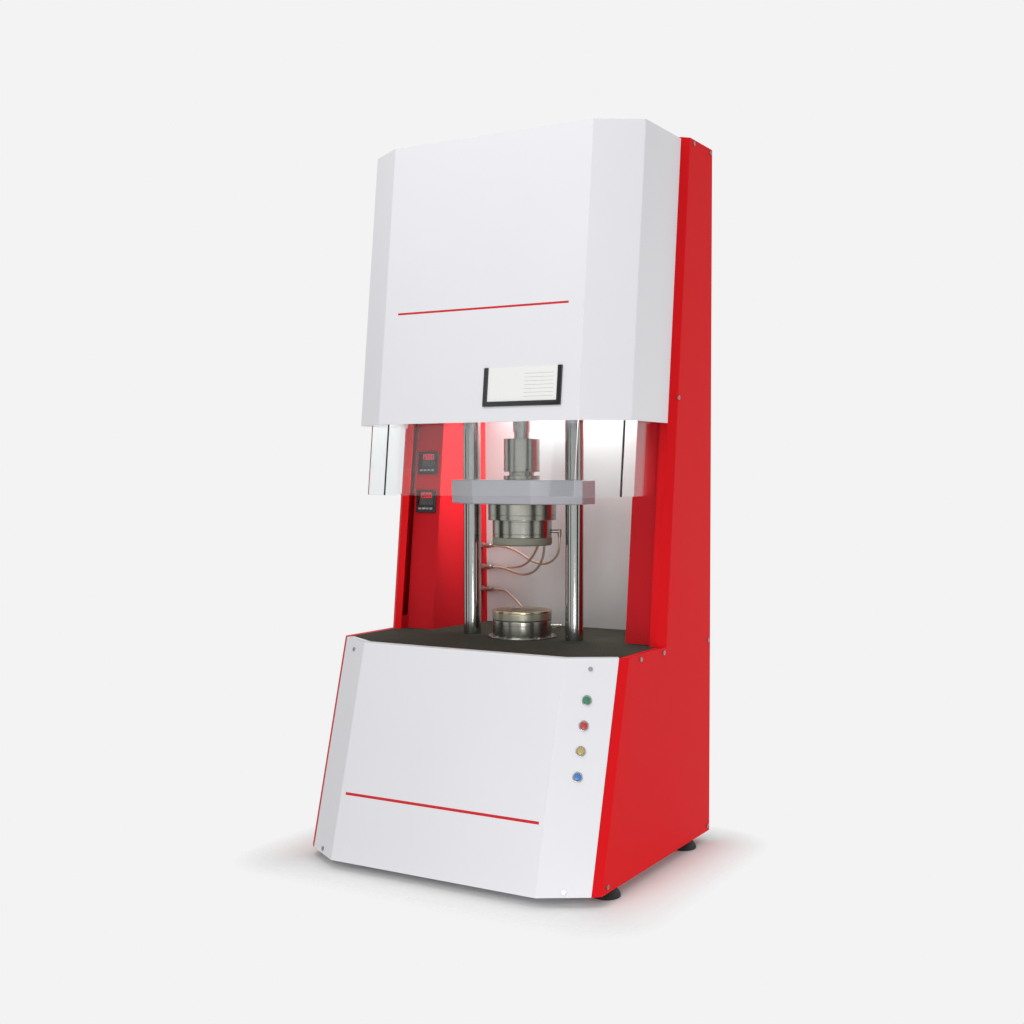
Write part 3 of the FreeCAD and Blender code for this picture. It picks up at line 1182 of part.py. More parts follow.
def shield_guides():
    """Rails behind the column's flanges, carriers on them, and the lift cylinders."""
    rail = new_body("rail")
    near = column_front("rail_low") + " + rail_back"
    plan = outline(rail, "XY_Plane", rectangle(
        INSIDE_X + " - rail_wide", INSIDE_X, near, near + " + rail_deep"), "rail_low")
    pad(rail, plan, "rail_top - rail_low", "lean")
    sloped_group("shield_rails", rail)
    carrier = new_body("carrier")
    plane = column_front("carrier_low")
    rail_x = INSIDE_X + " - rail_wide"
    rail_low, rail_high = plane + " + rail_back - run_gap", plane + " + rail_back + rail_deep + run_gap"
    near, far = rail_low + " - carrier_arm", rail_high + " + carrier_arm"
    reach = rail_x + " + rail_wide / 2"
    flange_back = plane + " + sheet + 2 * run_gap"
    tower_front = plane + " + tower_recess - carrier_arm"
    outline_points = [
        ("shield_out", flange_back), (PANEL_X + " - flange / 2", flange_back), (reach, near),
        (reach, rail_low), (rail_x + " - run_gap", rail_low), (rail_x + " - run_gap", rail_high),
        (reach, rail_high), (reach, far), ("tower_out + 2 * run_gap", far),
        ("tower_out + 2 * run_gap", tower_front), ("shield_out", tower_front)]
    plan = outline(carrier, "XY_Plane", outline_points, "carrier_low")
    pad(carrier, plan, "carrier_high", "lean")
    sloped_group("shield_carriers", carrier)
    lift_y = "(%s + lift_back)" % column_front("carrier_low + carrier_high")
    rod = new_body("lift_rod")
    low = "carrier_low + carrier_high"
    shaft = circles(rod, "XY_Plane", [("lift_x", lift_y)], "lift_rod / 2", low)
    pad(rod, shaft, "lift_stroke_top - carrier_low - carrier_high", "lean")
    head_low = "lift_stroke_top"
    head_y = "(%s + lift_back)" % column_front(head_low)
    head = circles(rod, "XY_Plane", [("lift_x", head_y)], "lift_dia / 2 - lift_wall - slide_gap", head_low)
    pad(rod, head, "lift_head", "lean")
    sloped_group("shield_cylinder_rods", rod)
    barrel = leaning_tube("lift_dia / 2", "lift_low", "lift_top")
    bore = leaning_tube("lift_dia / 2 - lift_wall", "lift_low + lift_end", "lift_top - lift_end")
    hole = leaning_tube("lift_rod / 2 + slide_gap", "lift_low - gap", "lift_low + lift_end + gap")
    brackets = []
    for z in ("lift_low + lift_end", "lift_top - 2 * lift_end"):
        bracket = new_body("bracket")
        plane = column_front(z)
        plan = outline(bracket, "XY_Plane", rectangle(
            "lift_x + lift_dia / 2 - lift_wall / 2", INSIDE_X, plane + " + lift_back + lift_wall",
            plane + " + lift_back + 4 * lift_wall"), z)
        pad(bracket, plan, "lift_end", "lean")
        brackets.append(bracket)
    sloped_group("shield_cylinders", cut(fuse([barrel] + brackets), [bore, hole]))


def leaning_tube(radius, low, high):
    """Round bar on the lift cylinder's leaning axis between two heights."""
    body = new_body("lift_part")
    circle = circles(body, "XY_Plane", [("lift_x", "(%s + lift_back)" % column_front(low))], radius, low)
    pad(body, circle, "(%s) - (%s)" % (high, low), "lean")
    return body


# Controls on the leaning and sloping panels

def leaning(body, x, y, z):
    """Place a body upright on a leaning panel, its XZ plane on the panel's face."""
    tilt = math.degrees(math.atan(number("lean")))
    body.Placement = Placement(Vector(), Rotation(Vector(-1, 0, 0), tilt))
    bind(body, Placement__Base__x=x, Placement__Base__y=y, Placement__Base__z=z)
    body.setExpression("Placement.Rotation.Angle", bound("atan(lean)"))
    return body


def controllers():
    """Panel-mounted temperature controllers with a recessed display."""
    for index, name in enumerate(("upper_controller", "lower_controller")):
        body = new_body(name)
        bezel = pad(body, outline(body, "XZ_Plane", square("control_side / 2")), "control_proud")
        front = -number("control_proud")
        rims = edges_where(bezel, lambda point: abs(point.y - front) < TOUCH)
        chamfer(body, bezel, rims, "edge_break")
        display = rectangle("-control_window / 2", "control_window / 2", "-control_side / 8",
                            "control_window / 2")
        window = outline(body, "XZ_Plane", display, "control_proud")
        pocket(body, window, "edge_break")
        case = outline(body, "XZ_Plane", square("control_body / 2"))
        pad(body, case, "control_deep", downward=True)
        z = "(control_top - %d * control_pitch)" % index
        keep(name, leaning(body, "-control_x", column_front(z) + " + tower_recess", z))


def label_frame():
    """Open-topped black holder on the hood with a blank card behind its bars."""
    body = new_body("label_holder")
    half, inner = "label_wide / 2", "label_wide / 2 - label_bar"
    bars = outline(body, "XZ_Plane", [
        ("-" + half, "0"), (half, "0"), (half, "label_high"), (inner, "label_high"), (inner, "label_bar"),
        ("-(%s)" % inner, "label_bar"), ("-(%s)" % inner, "label_high"), ("-" + half, "label_high")])
    pad(body, bars, "label_deep")
    groove = outline(body, "XZ_Plane", rectangle("-(%s + label_bar / 2)" % inner, inner + " + label_bar / 2",
                                                 "label_bar / 2", "label_high + gap"))
    pocket(body, groove, "label_deep / 2", reverse=True)
    keep("label_holder", leaning(body, "label_x", hood_front("label_z"), "label_z"))
    card = new_body("label_card")
    edge = inner + " + label_bar / 2 - gap"
    sheet_plan = outline(card, "XZ_Plane", rectangle(
        "-(%s)" % edge, edge, "label_bar / 2", "label_high - gap"))
    pad(card, sheet_plan, "label_deep / 2 - gap")
    keep("label_card", leaning(card, "label_x", hood_front("label_z"), "label_z"))


def buttons():
    """Four bezels with barrels through the panel, and their push caps."""
    barrel, rim, bore = "button_barrel / 2", "bezel_dia / 2", "cap_dia / 2 + button_gap"
    seat = "-cap_deep - button_travel - edge_break"
    bezels = []
    for index, name in enumerate(("green_button", "red_button", "yellow_button", "blue_button")):
        z = "(button_top - %d * button_pitch)" % index
        bezel = turned("bezel", [
            (bore, "bezel_high"), (rim + " - edge_break / 2", "bezel_high"),
            (rim, "bezel_high - edge_break / 2"), (rim, "0"), (barrel, "0"), (barrel, "-barrel_long"),
            ("0", "-barrel_long"), ("0", seat), (bore, seat)])
        bezels.append(on_facet(bezel, "button_x", z))
        cap = turned(name, [
            ("0", "-cap_deep"), ("cap_dia / 2", "-cap_deep"),
            ("cap_dia / 2", "bezel_high + cap_proud - edge_break / 2"),
            ("cap_dia / 2 - edge_break / 2", "bezel_high + cap_proud"), ("0", "bezel_high + cap_proud")])
        keep(name, on_facet(cap, "button_x", z))
    keep("button_bezels", group(bezels))


def screw_head():
    """Low cheese head with a broken edge and a socket."""
    return turned("screw", [
        ("0", "0"), ("screw_dia / 2", "0"), ("screw_dia / 2", "screw_high - edge_break / 2"),
        ("screw_dia / 2 - edge_break / 2", "screw_high"), ("screw_dia / 5", "screw_high"),
        ("screw_dia / 5", "screw_high / 2"), ("0", "screw_high / 2")], "0", "0")


def panel_screws():
    """Screw heads on the front panel, the side panels and the rear panel."""
    heads = []
    foot_row, shoulder, top_row = "foot_high + screw_edge", "table_z - screw_drop", "height - screw_top"
    rear = REAR + " - screw_edge"
    for side in (1, -1):
        for z in ("table_z - facet_screw", "foot_high + screw_drop"):
            heads.append(on_facet(screw_head(), "button_x", z, side))
        places = [
            (BASE_CORNER + " + screw_front", shoulder), ("column_y", shoulder), (rear, shoulder),
            (front_panel_y(foot_row) + " + facet_deep + screw_front / 2", foot_row), (rear, foot_row),
            (column_front("height") + " + screw_front / 2", top_row), (rear, top_row)]
        for y, z in places:
            head = screw_head()
            head.Placement = Placement(Vector(), Rotation(Vector(0, 0, 1), Vector(side, 0, 0)))
            bind(head, Placement__Base__x="%d * width / 2" % side, Placement__Base__y=y, Placement__Base__z=z)
            heads.append(head)
        for z in (foot_row, "table_z", "(table_z + height) / 2", "height - 2 * screw_top"):
            head = screw_head()
            head.Placement = Placement(Vector(), Rotation(Vector(0, 0, 1), Vector(0, 1, 0)))
            bind(head, Placement__Base__x="%d * (width / 2 - return_flange / 2 - sheet)" % side,
                 Placement__Base__y=PANEL_BACK, Placement__Base__z=z)
            heads.append(head)
    keep("panel_screws", group(heads))


# Hoses and their fittings

ELBOW_REACH = "(heater_dia / 2 + elbow_reach)"
NIPPLE_LOW = "(%s - nipple_long)" % HEATER_TOP
NOZZLE_REACH = "(guard_dia / 2 + nozzle_long)"


def around(radius, angle):
    """X and Y on a circle about the die axis, the angle in degrees from +X."""
    turn = math.radians(angle)
    return "(%s) * %.6f" % (radius, math.cos(turn)), "die_y + (%s) * %.6f" % (radius, math.sin(turn))


def fittings():
    """Elbow on the heater block and two nipples under the torque cell housing."""
    turn = Rotation(Vector(0, 0, 1), ELBOW_ANGLE) * TURNS["x"]
    across = cut(cylinder("0", "die_y", "elbow_z", "elbow_arm / 2", ELBOW_REACH, turn),
                 [cylinder("0", "die_y", UPPER_FACE, "heater_dia / 2", "3 * heater_high")])
    x, y = around(ELBOW_REACH, ELBOW_ANGLE)
    drop = cylinder(x, y, "elbow_z - elbow_drop", "fitting_dia / 2", "elbow_drop + fitting_dia / 2")
    made = [fuse([across, drop])]
    for angle in NIPPLE_ANGLES:
        x, y = around("nipple_ring", angle)
        made.append(cylinder(x, y, NIPPLE_LOW, "fitting_dia / 2", "nipple_long"))
    keep("upper_hose_fittings", group(made))


def glands():
    """Three hose glands on the left tower's inner side."""
    made = []
    for z in ("gland_top", "gland_middle", "gland_bottom"):
        front = column_front(z) + " + tower_recess"
        flare = "tower_flare / (wall_y - column_y - tower_recess)"
        face = "-tower_in + (gland_y + gland_dia / 2 - %s) * %s + fit_gap" % (front, flare)
        stem_start = face + " - gland_stem"
        stem = cylinder(stem_start, "gland_y", z, "gland_bore / 2 - gap", "gland_stem + sheet", "x")
        hexed = hexagon(face, "gland_y", z, "gland_dia", "gland_hex", "x")
        shaft = "gland_end - gland_hex - (%s)" % face
        nose = cylinder(face + " + gland_hex", "gland_y", z, "gland_dia / 2", shaft, "x")
        made.append(fuse([stem, hexed, nose]))
    keep("hose_glands", group(made))


def gland_run(z, shift="0"):
    """First two points of a hose, straight out of its gland."""
    y = "gland_y + (%s)" % shift
    return [(number(x), number(y), number(z)) for x in ("gland_end", "gland_end + gland_lead")]


def hanging_run(x, y, z, lead):
    """Last two points of a hose, straight up into its fitting."""
    return [(number(x), number(y), number(z) - lead), (number(x), number(y), number(z))]


def nozzle_run():
    """Last two points of the lower hose, straight into the guard ring's nozzle."""
    run = []
    for extra in (NOZZLE_LEAD, 0):
        x, y = around("%s + %g" % (NOZZLE_REACH, extra), NOZZLE_ANGLE)
        run.append((number(x), number(y), number("nozzle_z")))
    return run


def routed_tube(route, radius):
    """Tube of straight runs joined by tangent arcs, through the route's corners."""
    points = [Vector(*place) for place in route]
    edges, radii = [], []
    start = points[0]
    for before, corner, after in zip(points, points[1:], points[2:]):
        back, ahead = before - corner, after - corner
        turn = math.pi - back.getAngle(ahead)
        reach = ARC_SHARE * min(back.Length, ahead.Length)
        bend = reach / math.tan(turn / 2)
        back.normalize()
        ahead.normalize()
        middle = back + ahead
        middle.normalize()
        deep = math.hypot(bend, reach) - bend
        enter, leave = corner + back * reach, corner + ahead * reach
        edges.append(Part.LineSegment(start, enter).toShape())
        edges.append(Part.Arc(enter, corner + middle * deep, leave).toShape())
        radii.append(bend)
        start = leave
    edges.append(Part.LineSegment(start, points[-1]).toShape())
    spine = Part.Wire(edges)
    section = Part.Wire([Part.Circle(points[0], points[1] - points[0], radius).toShape()])
    tube_shape = spine.makePipeShell([section], True, False)
    expected = math.pi * radius ** 2 * spine.Length
    if abs(tube_shape.Volume / expected - 1) > 0.01:
        raise RuntimeError("a hose has the wrong volume")
    print("hose %.0f mm long, radii %s" % (spine.Length, " ".join("%.0f" % bend for bend in radii)))
    return tube_shape


def hose(name, route):
    """One hose along its route."""
    made = doc.addObject("Part::Feature", name)
    made.Shape = routed_tube(route, number("hose_dia") / 2)
    made.Placement = Placement()
    return made


def hoses():
    """Hoses from the glands to the dies; the upper ones follow the crosshead."""
    starts = [gland_run("gland_top"), gland_run("gland_middle", "gland_split"),
              gland_run("gland_middle", "-gland_split")]
    tops = [around(ELBOW_REACH, ELBOW_ANGLE) + ("elbow_z - elbow_drop",)]
    tops += [around("nipple_ring", angle) + (NIPPLE_LOW,) for angle in NIPPLE_ANGLES]
    made = []
    for start, middle, top, lead in zip(starts, UPPER_MIDDLES, tops, FITTING_LEADS):
        made.append(hose("upper_hose", start + middle + hanging_run(*top, lead)))
    keep("upper_die_hoses", group(made))
    keep("lower_hose", hose("lower_hose_tube", gland_run("gland_bottom") + LOWER_MIDDLE + nozzle_run()))


# Rear connections

def rear_connections():
    """Mains inlet with a rocker switch beside it, and the air inlet."""
    left, right = "inlet_x - inlet_wide / 2", "inlet_x + inlet_wide / 2"
    low, high = "recess_z - inlet_high / 2", "recess_z + inlet_high / 2"
    face, inside = PAN + " + inlet_flange", PAN + " - socket_deep"
    flange_plate = box((left + " - inlet_flange", right + " + inlet_flange"), (PAN, face),
                       (low + " - inlet_flange", high + " + inlet_flange"))
    case = box((left, right), (PAN + " - inlet_deep", PAN), (low, high))
    socket = box((left + " + socket_wall", "inlet_x - socket_wall"), (inside, face),
                 ("recess_z - socket_high / 2", "recess_z + socket_high / 2"))
    window = box(("rocker_x - rocker_wide / 2 - gap", "rocker_x + rocker_wide / 2 + gap"), (inside, face),
                 ("recess_z - rocker_high / 2 - gap", "recess_z + rocker_high / 2 + gap"))
    pins = []
    for across, up in (("-pin_pitch", "-pin_drop"), ("0", "pin_rise"), ("pin_pitch", "-pin_drop")):
        x, z = "inlet_x - inlet_wide / 4 + (%s)" % across, "recess_z + (%s)" % up
        pins.append(box((x + " - pin_wide / 2", x + " + pin_wide / 2"),
                        (inside + " - sheet", PAN + " + sheet / 2"),
                        (z + " - pin_high / 2", z + " + pin_high / 2")))
    keep("power_inlet", fuse([cut(fuse([flange_plate, case]), [socket, window])] + pins))
    rocker = new_body("power_switch")
    back = "-rocker_deep / 2"
    profile = outline(rocker, "YZ_Plane", [
        (back, "-rocker_high / 2"), ("rocker_deep / 2", "-rocker_high / 2"), ("rocker_deep / 4", "0"),
        ("rocker_deep / 2", "rocker_high / 2"), (back, "rocker_high / 2")])
    feature = pad(rocker, profile, "rocker_wide")
    feature.Midplane = True
    round_end = cylinder("-rocker_wide", "0", "0", "rocker_high / 2", "2 * rocker_wide", "x")
    rounded = doc.addObject("Part::MultiCommon", "Rocker")
    rounded.Shapes = [rocker, round_end]
    rounded.Placement = Placement(Vector(), Rotation(Vector(1, 0, 0), ROCKER_TILT))
    bind(rounded, Placement__Base__x="rocker_x", Placement__Base__y=PAN + " + sheet / 2")
    bind(rounded, Placement__Base__z="recess_z")
    keep("power_switch", rounded)
    back = PAN + " - air_long"
    body = fuse([hexagon("air_x", PAN, "recess_z", "4 * air_bore", "air_nut", "y"),
                 cylinder("air_x", back, "recess_z", "air_bore + air_wall", "air_long + air_proud", "y")])
    bore = cylinder("air_x", back + " + air_proud", "recess_z", "air_bore", "air_long + sheet", "y")
    keep("air_inlet", cut(body, [bore]))


side_panel()
front_panel()
hood()
top_cover()
rear_panel()
base_tray()
towers()
chamber_wall()
base_frame()
bed_plate()
table_mat()
feet()
pillars()
head_plate()
air_cylinder()
piston_rod()
crosshead()
rod_coupling()
upper_die_stack()
lower_die_stack()
drive()
shield()
shield_guides()
controllers()
label_frame()
buttons()
panel_screws()
fittings()
glands()
hoses()
rear_connections()
doc.recompute()

for thing in doc.Objects:
    if "Invalid" in thing.State or "Error" in thing.State:
        raise RuntimeError("%s (%s) did not recompute" % (thing.Name, thing.Label))
for name, thing in pieces.items():
    shape = thing.Shape
    if shape.isNull() or not shape.isValid() or not shape.Solids:
        raise RuntimeError("%s has no valid solid" % name)
    shape.exportStep(os.path.join("parts", name + ".step"))
print("%d sub-parts written" % len(pieces))
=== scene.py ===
import bmesh
import bpy
import math
from mathutils import Matrix, Vector

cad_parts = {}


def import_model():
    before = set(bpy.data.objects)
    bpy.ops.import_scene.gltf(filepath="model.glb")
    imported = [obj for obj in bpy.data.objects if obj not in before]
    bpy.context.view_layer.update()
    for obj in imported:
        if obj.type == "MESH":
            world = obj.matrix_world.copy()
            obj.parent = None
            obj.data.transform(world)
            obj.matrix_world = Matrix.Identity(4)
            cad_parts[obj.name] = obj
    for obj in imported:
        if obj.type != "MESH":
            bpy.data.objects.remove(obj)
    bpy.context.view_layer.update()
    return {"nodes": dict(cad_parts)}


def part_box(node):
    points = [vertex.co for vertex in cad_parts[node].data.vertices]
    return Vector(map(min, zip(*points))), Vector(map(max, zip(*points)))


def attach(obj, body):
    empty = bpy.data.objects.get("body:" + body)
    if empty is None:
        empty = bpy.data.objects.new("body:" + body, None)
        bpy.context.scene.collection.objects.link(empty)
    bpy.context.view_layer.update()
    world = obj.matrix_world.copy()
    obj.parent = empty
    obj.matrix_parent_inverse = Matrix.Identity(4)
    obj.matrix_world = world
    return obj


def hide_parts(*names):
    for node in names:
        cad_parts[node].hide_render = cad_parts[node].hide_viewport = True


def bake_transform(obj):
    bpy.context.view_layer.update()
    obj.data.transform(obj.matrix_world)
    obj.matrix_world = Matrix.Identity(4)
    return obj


# Moving die rheometer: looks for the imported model, in metres, in its frame. +Z is up, the front
# faces -Y, and the origin is on the floor under the middle of the cabinet.

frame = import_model()

MM = 0.001

# Cabinet, as the solids have it
LEAN = 0.1086
BASE_SLOPE = 0.27
HALF_WIDTH = 310 * MM
PANEL_X = 297 * MM
FOLD_X = 216.5 * MM
FACET_DEEP = 50.4 * MM
FOOT_HIGH = 18 * MM
TABLE_Z = 410 * MM
BASE_FRONT = -167.16 * MM
COLUMN_Y = 44 * MM
HOOD_Y = -120 * MM
HOOD_LOW = 826 * MM
HOOD_TOP = 1367 * MM
SHEET = 2 * MM
GAP = 0.3 * MM
DIE_Y = 60 * MM
PILLAR_X = 116 * MM


def hood_front(z):
    """Outer face of the hood's front at a height."""
    return HOOD_Y + LEAN * (z - HOOD_LOW)


def column_front(z):
    """Front plane of the column's flanges at a height."""
    return COLUMN_Y + LEAN * (z - TABLE_Z)


def base_front(z):
    """Outer face of the front panel at a height."""
    return BASE_FRONT - BASE_SLOPE * (TABLE_Z - z)


def facet_y(x, z):
    """Outer face of the front panel's corner facets at a place."""
    return base_front(z) + (abs(x) - FOLD_X) * FACET_DEEP / (PANEL_X - FOLD_X)


def add_object(name, data):
    """A new object in the scene, at the origin."""
    made = bpy.data.objects.new(name, data)
    bpy.context.scene.collection.objects.link(made)
    return made


# Camera, at the photograph's angle

SENSOR = 36
LENS = 45.88
CAMERA_PLACE = (1.28054, -2.16783, 0.73133)
CAMERA_TILT, CAMERA_TURN = 88.32, 30.34


def make_camera():
    """The scene's camera."""
    data = bpy.data.cameras.new("camera")
    data.sensor_width, data.lens = SENSOR, LENS
    data.clip_start, data.clip_end = 0.05, 60
    camera = add_object("camera", data)
    camera.location = CAMERA_PLACE
    camera.rotation_euler = (math.radians(CAMERA_TILT), 0, math.radians(CAMERA_TURN))
    bpy.context.scene.camera = camera


make_camera()


# Shader helpers

def new_material(name):
    """A material, its node tree and its Principled shader."""
    made = bpy.data.materials.new(name)
    made.use_nodes = True
    return made, made.node_tree, made.node_tree.nodes["Principled BSDF"]


def matt(name, color):
    """A dull studio material, its node tree and its shader."""
    made, tree, shader = new_material(name)
    shader.inputs["Base Color"].default_value = color
    shader.inputs["Roughness"].default_value = 1
    shader.inputs["Specular IOR Level"].default_value = 0
    return made, tree, shader


def tone(red, green, blue):
    """A colour written 0 to 255 on screen, as the renderer wants it."""
    def linear(value):
        """One channel without the screen's curve."""
        value /= 255
        return value / 12.92 if value <= 0.04045 else ((value + 0.055) / 1.055) ** 2.4
    return (linear(red), linear(green), linear(blue), 1)


def add(tree, kind, inputs=None, **settings):
    """Add a node, set it up and link or set its inputs."""
    made = tree.nodes.new(kind)
    for name, value in settings.items():
        setattr(made, name, value)
    for key, value in (inputs or {}).items():
        if isinstance(value, bpy.types.NodeSocket):
            tree.links.new(value, made.inputs[key])
        else:
            made.inputs[key].default_value = value
    return made


def maths(tree, operation, first, second=0.0, third=0.0, clamp=False):
    """One arithmetic node and its result."""
    return add(tree, "ShaderNodeMath", {0: first, 1: second, 2: third},
               operation=operation, use_clamp=clamp).outputs[0]


def remap(tree, value, low, high, to_low, to_high):
    """Stretch a value from one range to another, clamped."""
    return add(tree, "ShaderNodeMapRange", {
        "Value": value, "From Min": low, "From Max": high, "To Min": to_low, "To Max": to_high}).outputs[0]


def noise(tree, vector, scale, detail=2.0):
    """Soft noise from 0 to 1."""
    inputs = {"Vector": vector, "Scale": scale, "Detail": detail}
    return add(tree, "ShaderNodeTexNoise", inputs).outputs[0]


def vector_maths(tree, operation, first, second):
    """One vector arithmetic node and its result."""
    return add(tree, "ShaderNodeVectorMath", {0: first, 1: second}, operation=operation).outputs[0]


def swung(tree, value, amount):
    """A noise value moved to swing round zero, times an amount."""
    return maths(tree, "MULTIPLY_ADD", value, amount, -amount / 2)


def surface_group(name, extra):
    """Start a finish group, which takes a colour and a roughness and gives both back with a height."""
    tree = bpy.data.node_groups.new(name, "ShaderNodeTree")
    color, number = "NodeSocketColor", "NodeSocketFloat"
    for title, kind, value in [("Color", color, (1, 1, 1, 1)), ("Roughness", number, 0.5)] + extra:
        tree.interface.new_socket(title, in_out="INPUT", socket_type=kind).default_value = value
    for title, kind in (("Color", color), ("Roughness", number), ("Height", number)):
        tree.interface.new_socket(title, in_out="OUTPUT", socket_type=kind)
    start, end = tree.nodes.new("NodeGroupInput"), tree.nodes.new("NodeGroupOutput")
    place = add(tree, "ShaderNodeTexCoord").outputs["Object"]
    return tree, start.outputs, end, place


def give(tree, end, start, factor, height, swing, amount):
    """Finish a group: colour times a factor, a height, and a roughness that swings by an amount."""
    roughness = maths(tree, "MULTIPLY_ADD", swing, amount, start["Roughness"])
    shade = add(tree, "ShaderNodeVectorMath", {0: start["Color"], "Scale": factor}, operation="SCALE")
    tree.links.new(shade.outputs[0], end.inputs["Color"])
    tree.links.new(roughness, end.inputs["Roughness"])
    tree.links.new(height, end.inputs["Height"])
    return tree


def powder_coat():
    """Fine orange peel with a faint cloudiness."""
    tree, start, end, place = surface_group("Powder coat", [
        ("Peel", "NodeSocketFloat", 900.0), ("Cloud", "NodeSocketFloat", 0.02)])
    peel = noise(tree, place, start["Peel"], 1.0)
    swing = swung(tree, noise(tree, place, 5.0, 3.0), 1.0)
    factor = maths(tree, "MULTIPLY_ADD", swing, maths(tree, "MULTIPLY", start["Cloud"], 2.0), 1.0)
    return give(tree, end, start, factor, peel, swing, 0.12)


def brushed():
    """Fine parallel scratches; Stretch sets how many there are per metre along each axis."""
    tree, start, end, place = surface_group("Brushed metal", [
        ("Stretch", "NodeSocketVector", (4.0, 4.0, 900.0)), ("Contrast", "NodeSocketFloat", 0.12)])
    grain = noise(tree, vector_maths(tree, "MULTIPLY", place, start["Stretch"]), 1.0, 3.0)
    cloud = noise(tree, place, 9.0, 2.0)
    swing = maths(tree, "ADD", swung(tree, grain, 1.0), swung(tree, cloud, 0.5))
    factor = maths(tree, "MULTIPLY_ADD", swing, start["Contrast"], 1.0)
    return give(tree, end, start, factor, grain, swing, 0.18)


def turned():
    """Tool rings round the die axis, for pieces from the lathe."""
    tree, start, end, place = surface_group("Turned metal", [
        ("Rings", "NodeSocketFloat", 1800.0), ("Contrast", "NodeSocketFloat", 0.10)])
    moved = vector_maths(tree, "SUBTRACT", place, (0, DIE_Y, 0))
    x, y, z = add(tree, "ShaderNodeSeparateXYZ", {0: moved}).outputs
    square = maths(tree, "ADD", maths(tree, "MULTIPLY", x, x), maths(tree, "MULTIPLY", y, y))
    radius = maths(tree, "SQRT", square)
    across, up = (maths(tree, "MULTIPLY", value, start["Rings"]) for value in (radius, z))
    section = add(tree, "ShaderNodeCombineXYZ", {0: across, 1: up})
    grain = noise(tree, section.outputs[0], 1.0, 2.0)
    stain = noise(tree, place, 40.0, 3.0)
    swing = maths(tree, "ADD", swung(tree, grain, 1.0), swung(tree, stain, 0.8))
    factor = maths(tree, "MULTIPLY_ADD", swing, start["Contrast"], 1.0)
    return give(tree, end, start, factor, grain, swing, 0.06)


def pebbled():
    """Pebbled rubber or moulded plastic; paler tops, and painted shade in the hollows between pebbles."""
    tree, start, end, place = surface_group("Pebbled rubber", [
        ("Pebble", "NodeSocketFloat", 420.0), ("Contrast", "NodeSocketFloat", 0.5)])
    cells = add(tree, "ShaderNodeTexVoronoi", {"Vector": place, "Scale": start["Pebble"]})
    cloud = noise(tree, place, 14.0, 4.0)
    height = maths(tree, "SUBTRACT", 1.0, cells.outputs["Distance"], clamp=True)
    # Colour follows the relief: darker towards the hollows, painted shade.
    swing = maths(tree, "ADD", swung(tree, height, 1.0), swung(tree, cloud, 1.0))
    factor = maths(tree, "MULTIPLY_ADD", swing, start["Contrast"], 1.0)
    return give(tree, end, start, factor, height, cloud, 0.15)


def braided():
    """Wire braid from the tube's own map: metres along, turns around; painted shade in the grooves."""
    tree, start, end, place = surface_group("Wire braid", [
        ("Pitch", "NodeSocketFloat", 260.0), ("Strands", "NodeSocketFloat", 6.0)])
    parts = add(tree, "ShaderNodeSeparateXYZ", {0: add(tree, "ShaderNodeTexCoord").outputs["UV"]}).outputs
    along = maths(tree, "MULTIPLY", parts[0], start["Pitch"])
    around = maths(tree, "MULTIPLY", parts[1], start["Strands"])
    ridges = []
    for operation in ("ADD", "SUBTRACT"):
        turns = maths(tree, "MULTIPLY", maths(tree, operation, along, around), math.pi)
        ridges.append(maths(tree, "ABSOLUTE", maths(tree, "SINE", turns)))
    height = maths(tree, "MAXIMUM", ridges[0], ridges[1])
    # Colour drops from each wire's crown into the grooves between wires: painted shade.
    factor = remap(tree, height, 0.5, 1.0, 0.35, 1.15)
    return give(tree, end, start, factor, height, noise(tree, place, 60.0), 0.2)


POWDER, BRUSHED, TURNED, PEBBLED, BRAIDED = powder_coat(), brushed(), turned(), pebbled(), braided()


def finish(name, group, color, roughness, metallic=0.0, bump=0.1, depth=0.0001, coat=0.0, glow=0.0,
           gloss=0.5, **settings):
    """A material: one finish group feeding a Principled shader, with constants on its own sockets."""
    made, tree, shader = new_material(name)
    color = tone(*color)
    inputs = {"Color": color, "Roughness": roughness}
    inputs.update({key.capitalize(): value for key, value in settings.items()})
    surface = tree.nodes.new("ShaderNodeGroup")
    surface.node_tree = group
    for key, value in inputs.items():
        surface.inputs[key].default_value = value
    relief = add(tree, "ShaderNodeBump", {
        "Height": surface.outputs["Height"], "Strength": bump, "Distance": depth})
    for socket, title in ((surface.outputs["Color"], "Base Color"),
                          (surface.outputs["Roughness"], "Roughness"), (relief.outputs[0], "Normal")):
        tree.links.new(socket, shader.inputs[title])
    constants = {"Metallic": metallic, "Coat Weight": coat, "Specular IOR Level": gloss}
    if glow:
        constants.update({"Emission Color": color, "Emission Strength": glow})
    for title, value in constants.items():
        shader.inputs[title].default_value = value
    return made


def clear_sheet():
    """Clear acrylic that lets light through to what stands behind it."""
    made, tree, shader = new_material("Clear acrylic")
    shader.inputs["Base Color"].default_value = (0.96, 0.98, 0.985, 1)
    shader.inputs["Transmission Weight"].default_value = 1
    shader.inputs["IOR"].default_value = 1.49
    place = add(tree, "ShaderNodeTexCoord").outputs["Object"]
    smear = remap(tree, noise(tree, place, 7.0, 4.0), 0.35, 0.75, 0.0, 0.05)
    tree.links.new(smear, shader.inputs["Roughness"])
    through = add(tree, "ShaderNodeBsdfTransparent")
    path = add(tree, "ShaderNodeLightPath")
    mixed = add(tree, "ShaderNodeMixShader", {
        0: path.outputs["Is Shadow Ray"], 1: shader.outputs[0], 2: through.outputs[0]})
    tree.links.new(mixed.outputs[0], tree.nodes["Material Output"].inputs["Surface"])
    return made


# Finishes, with colours as they look on screen

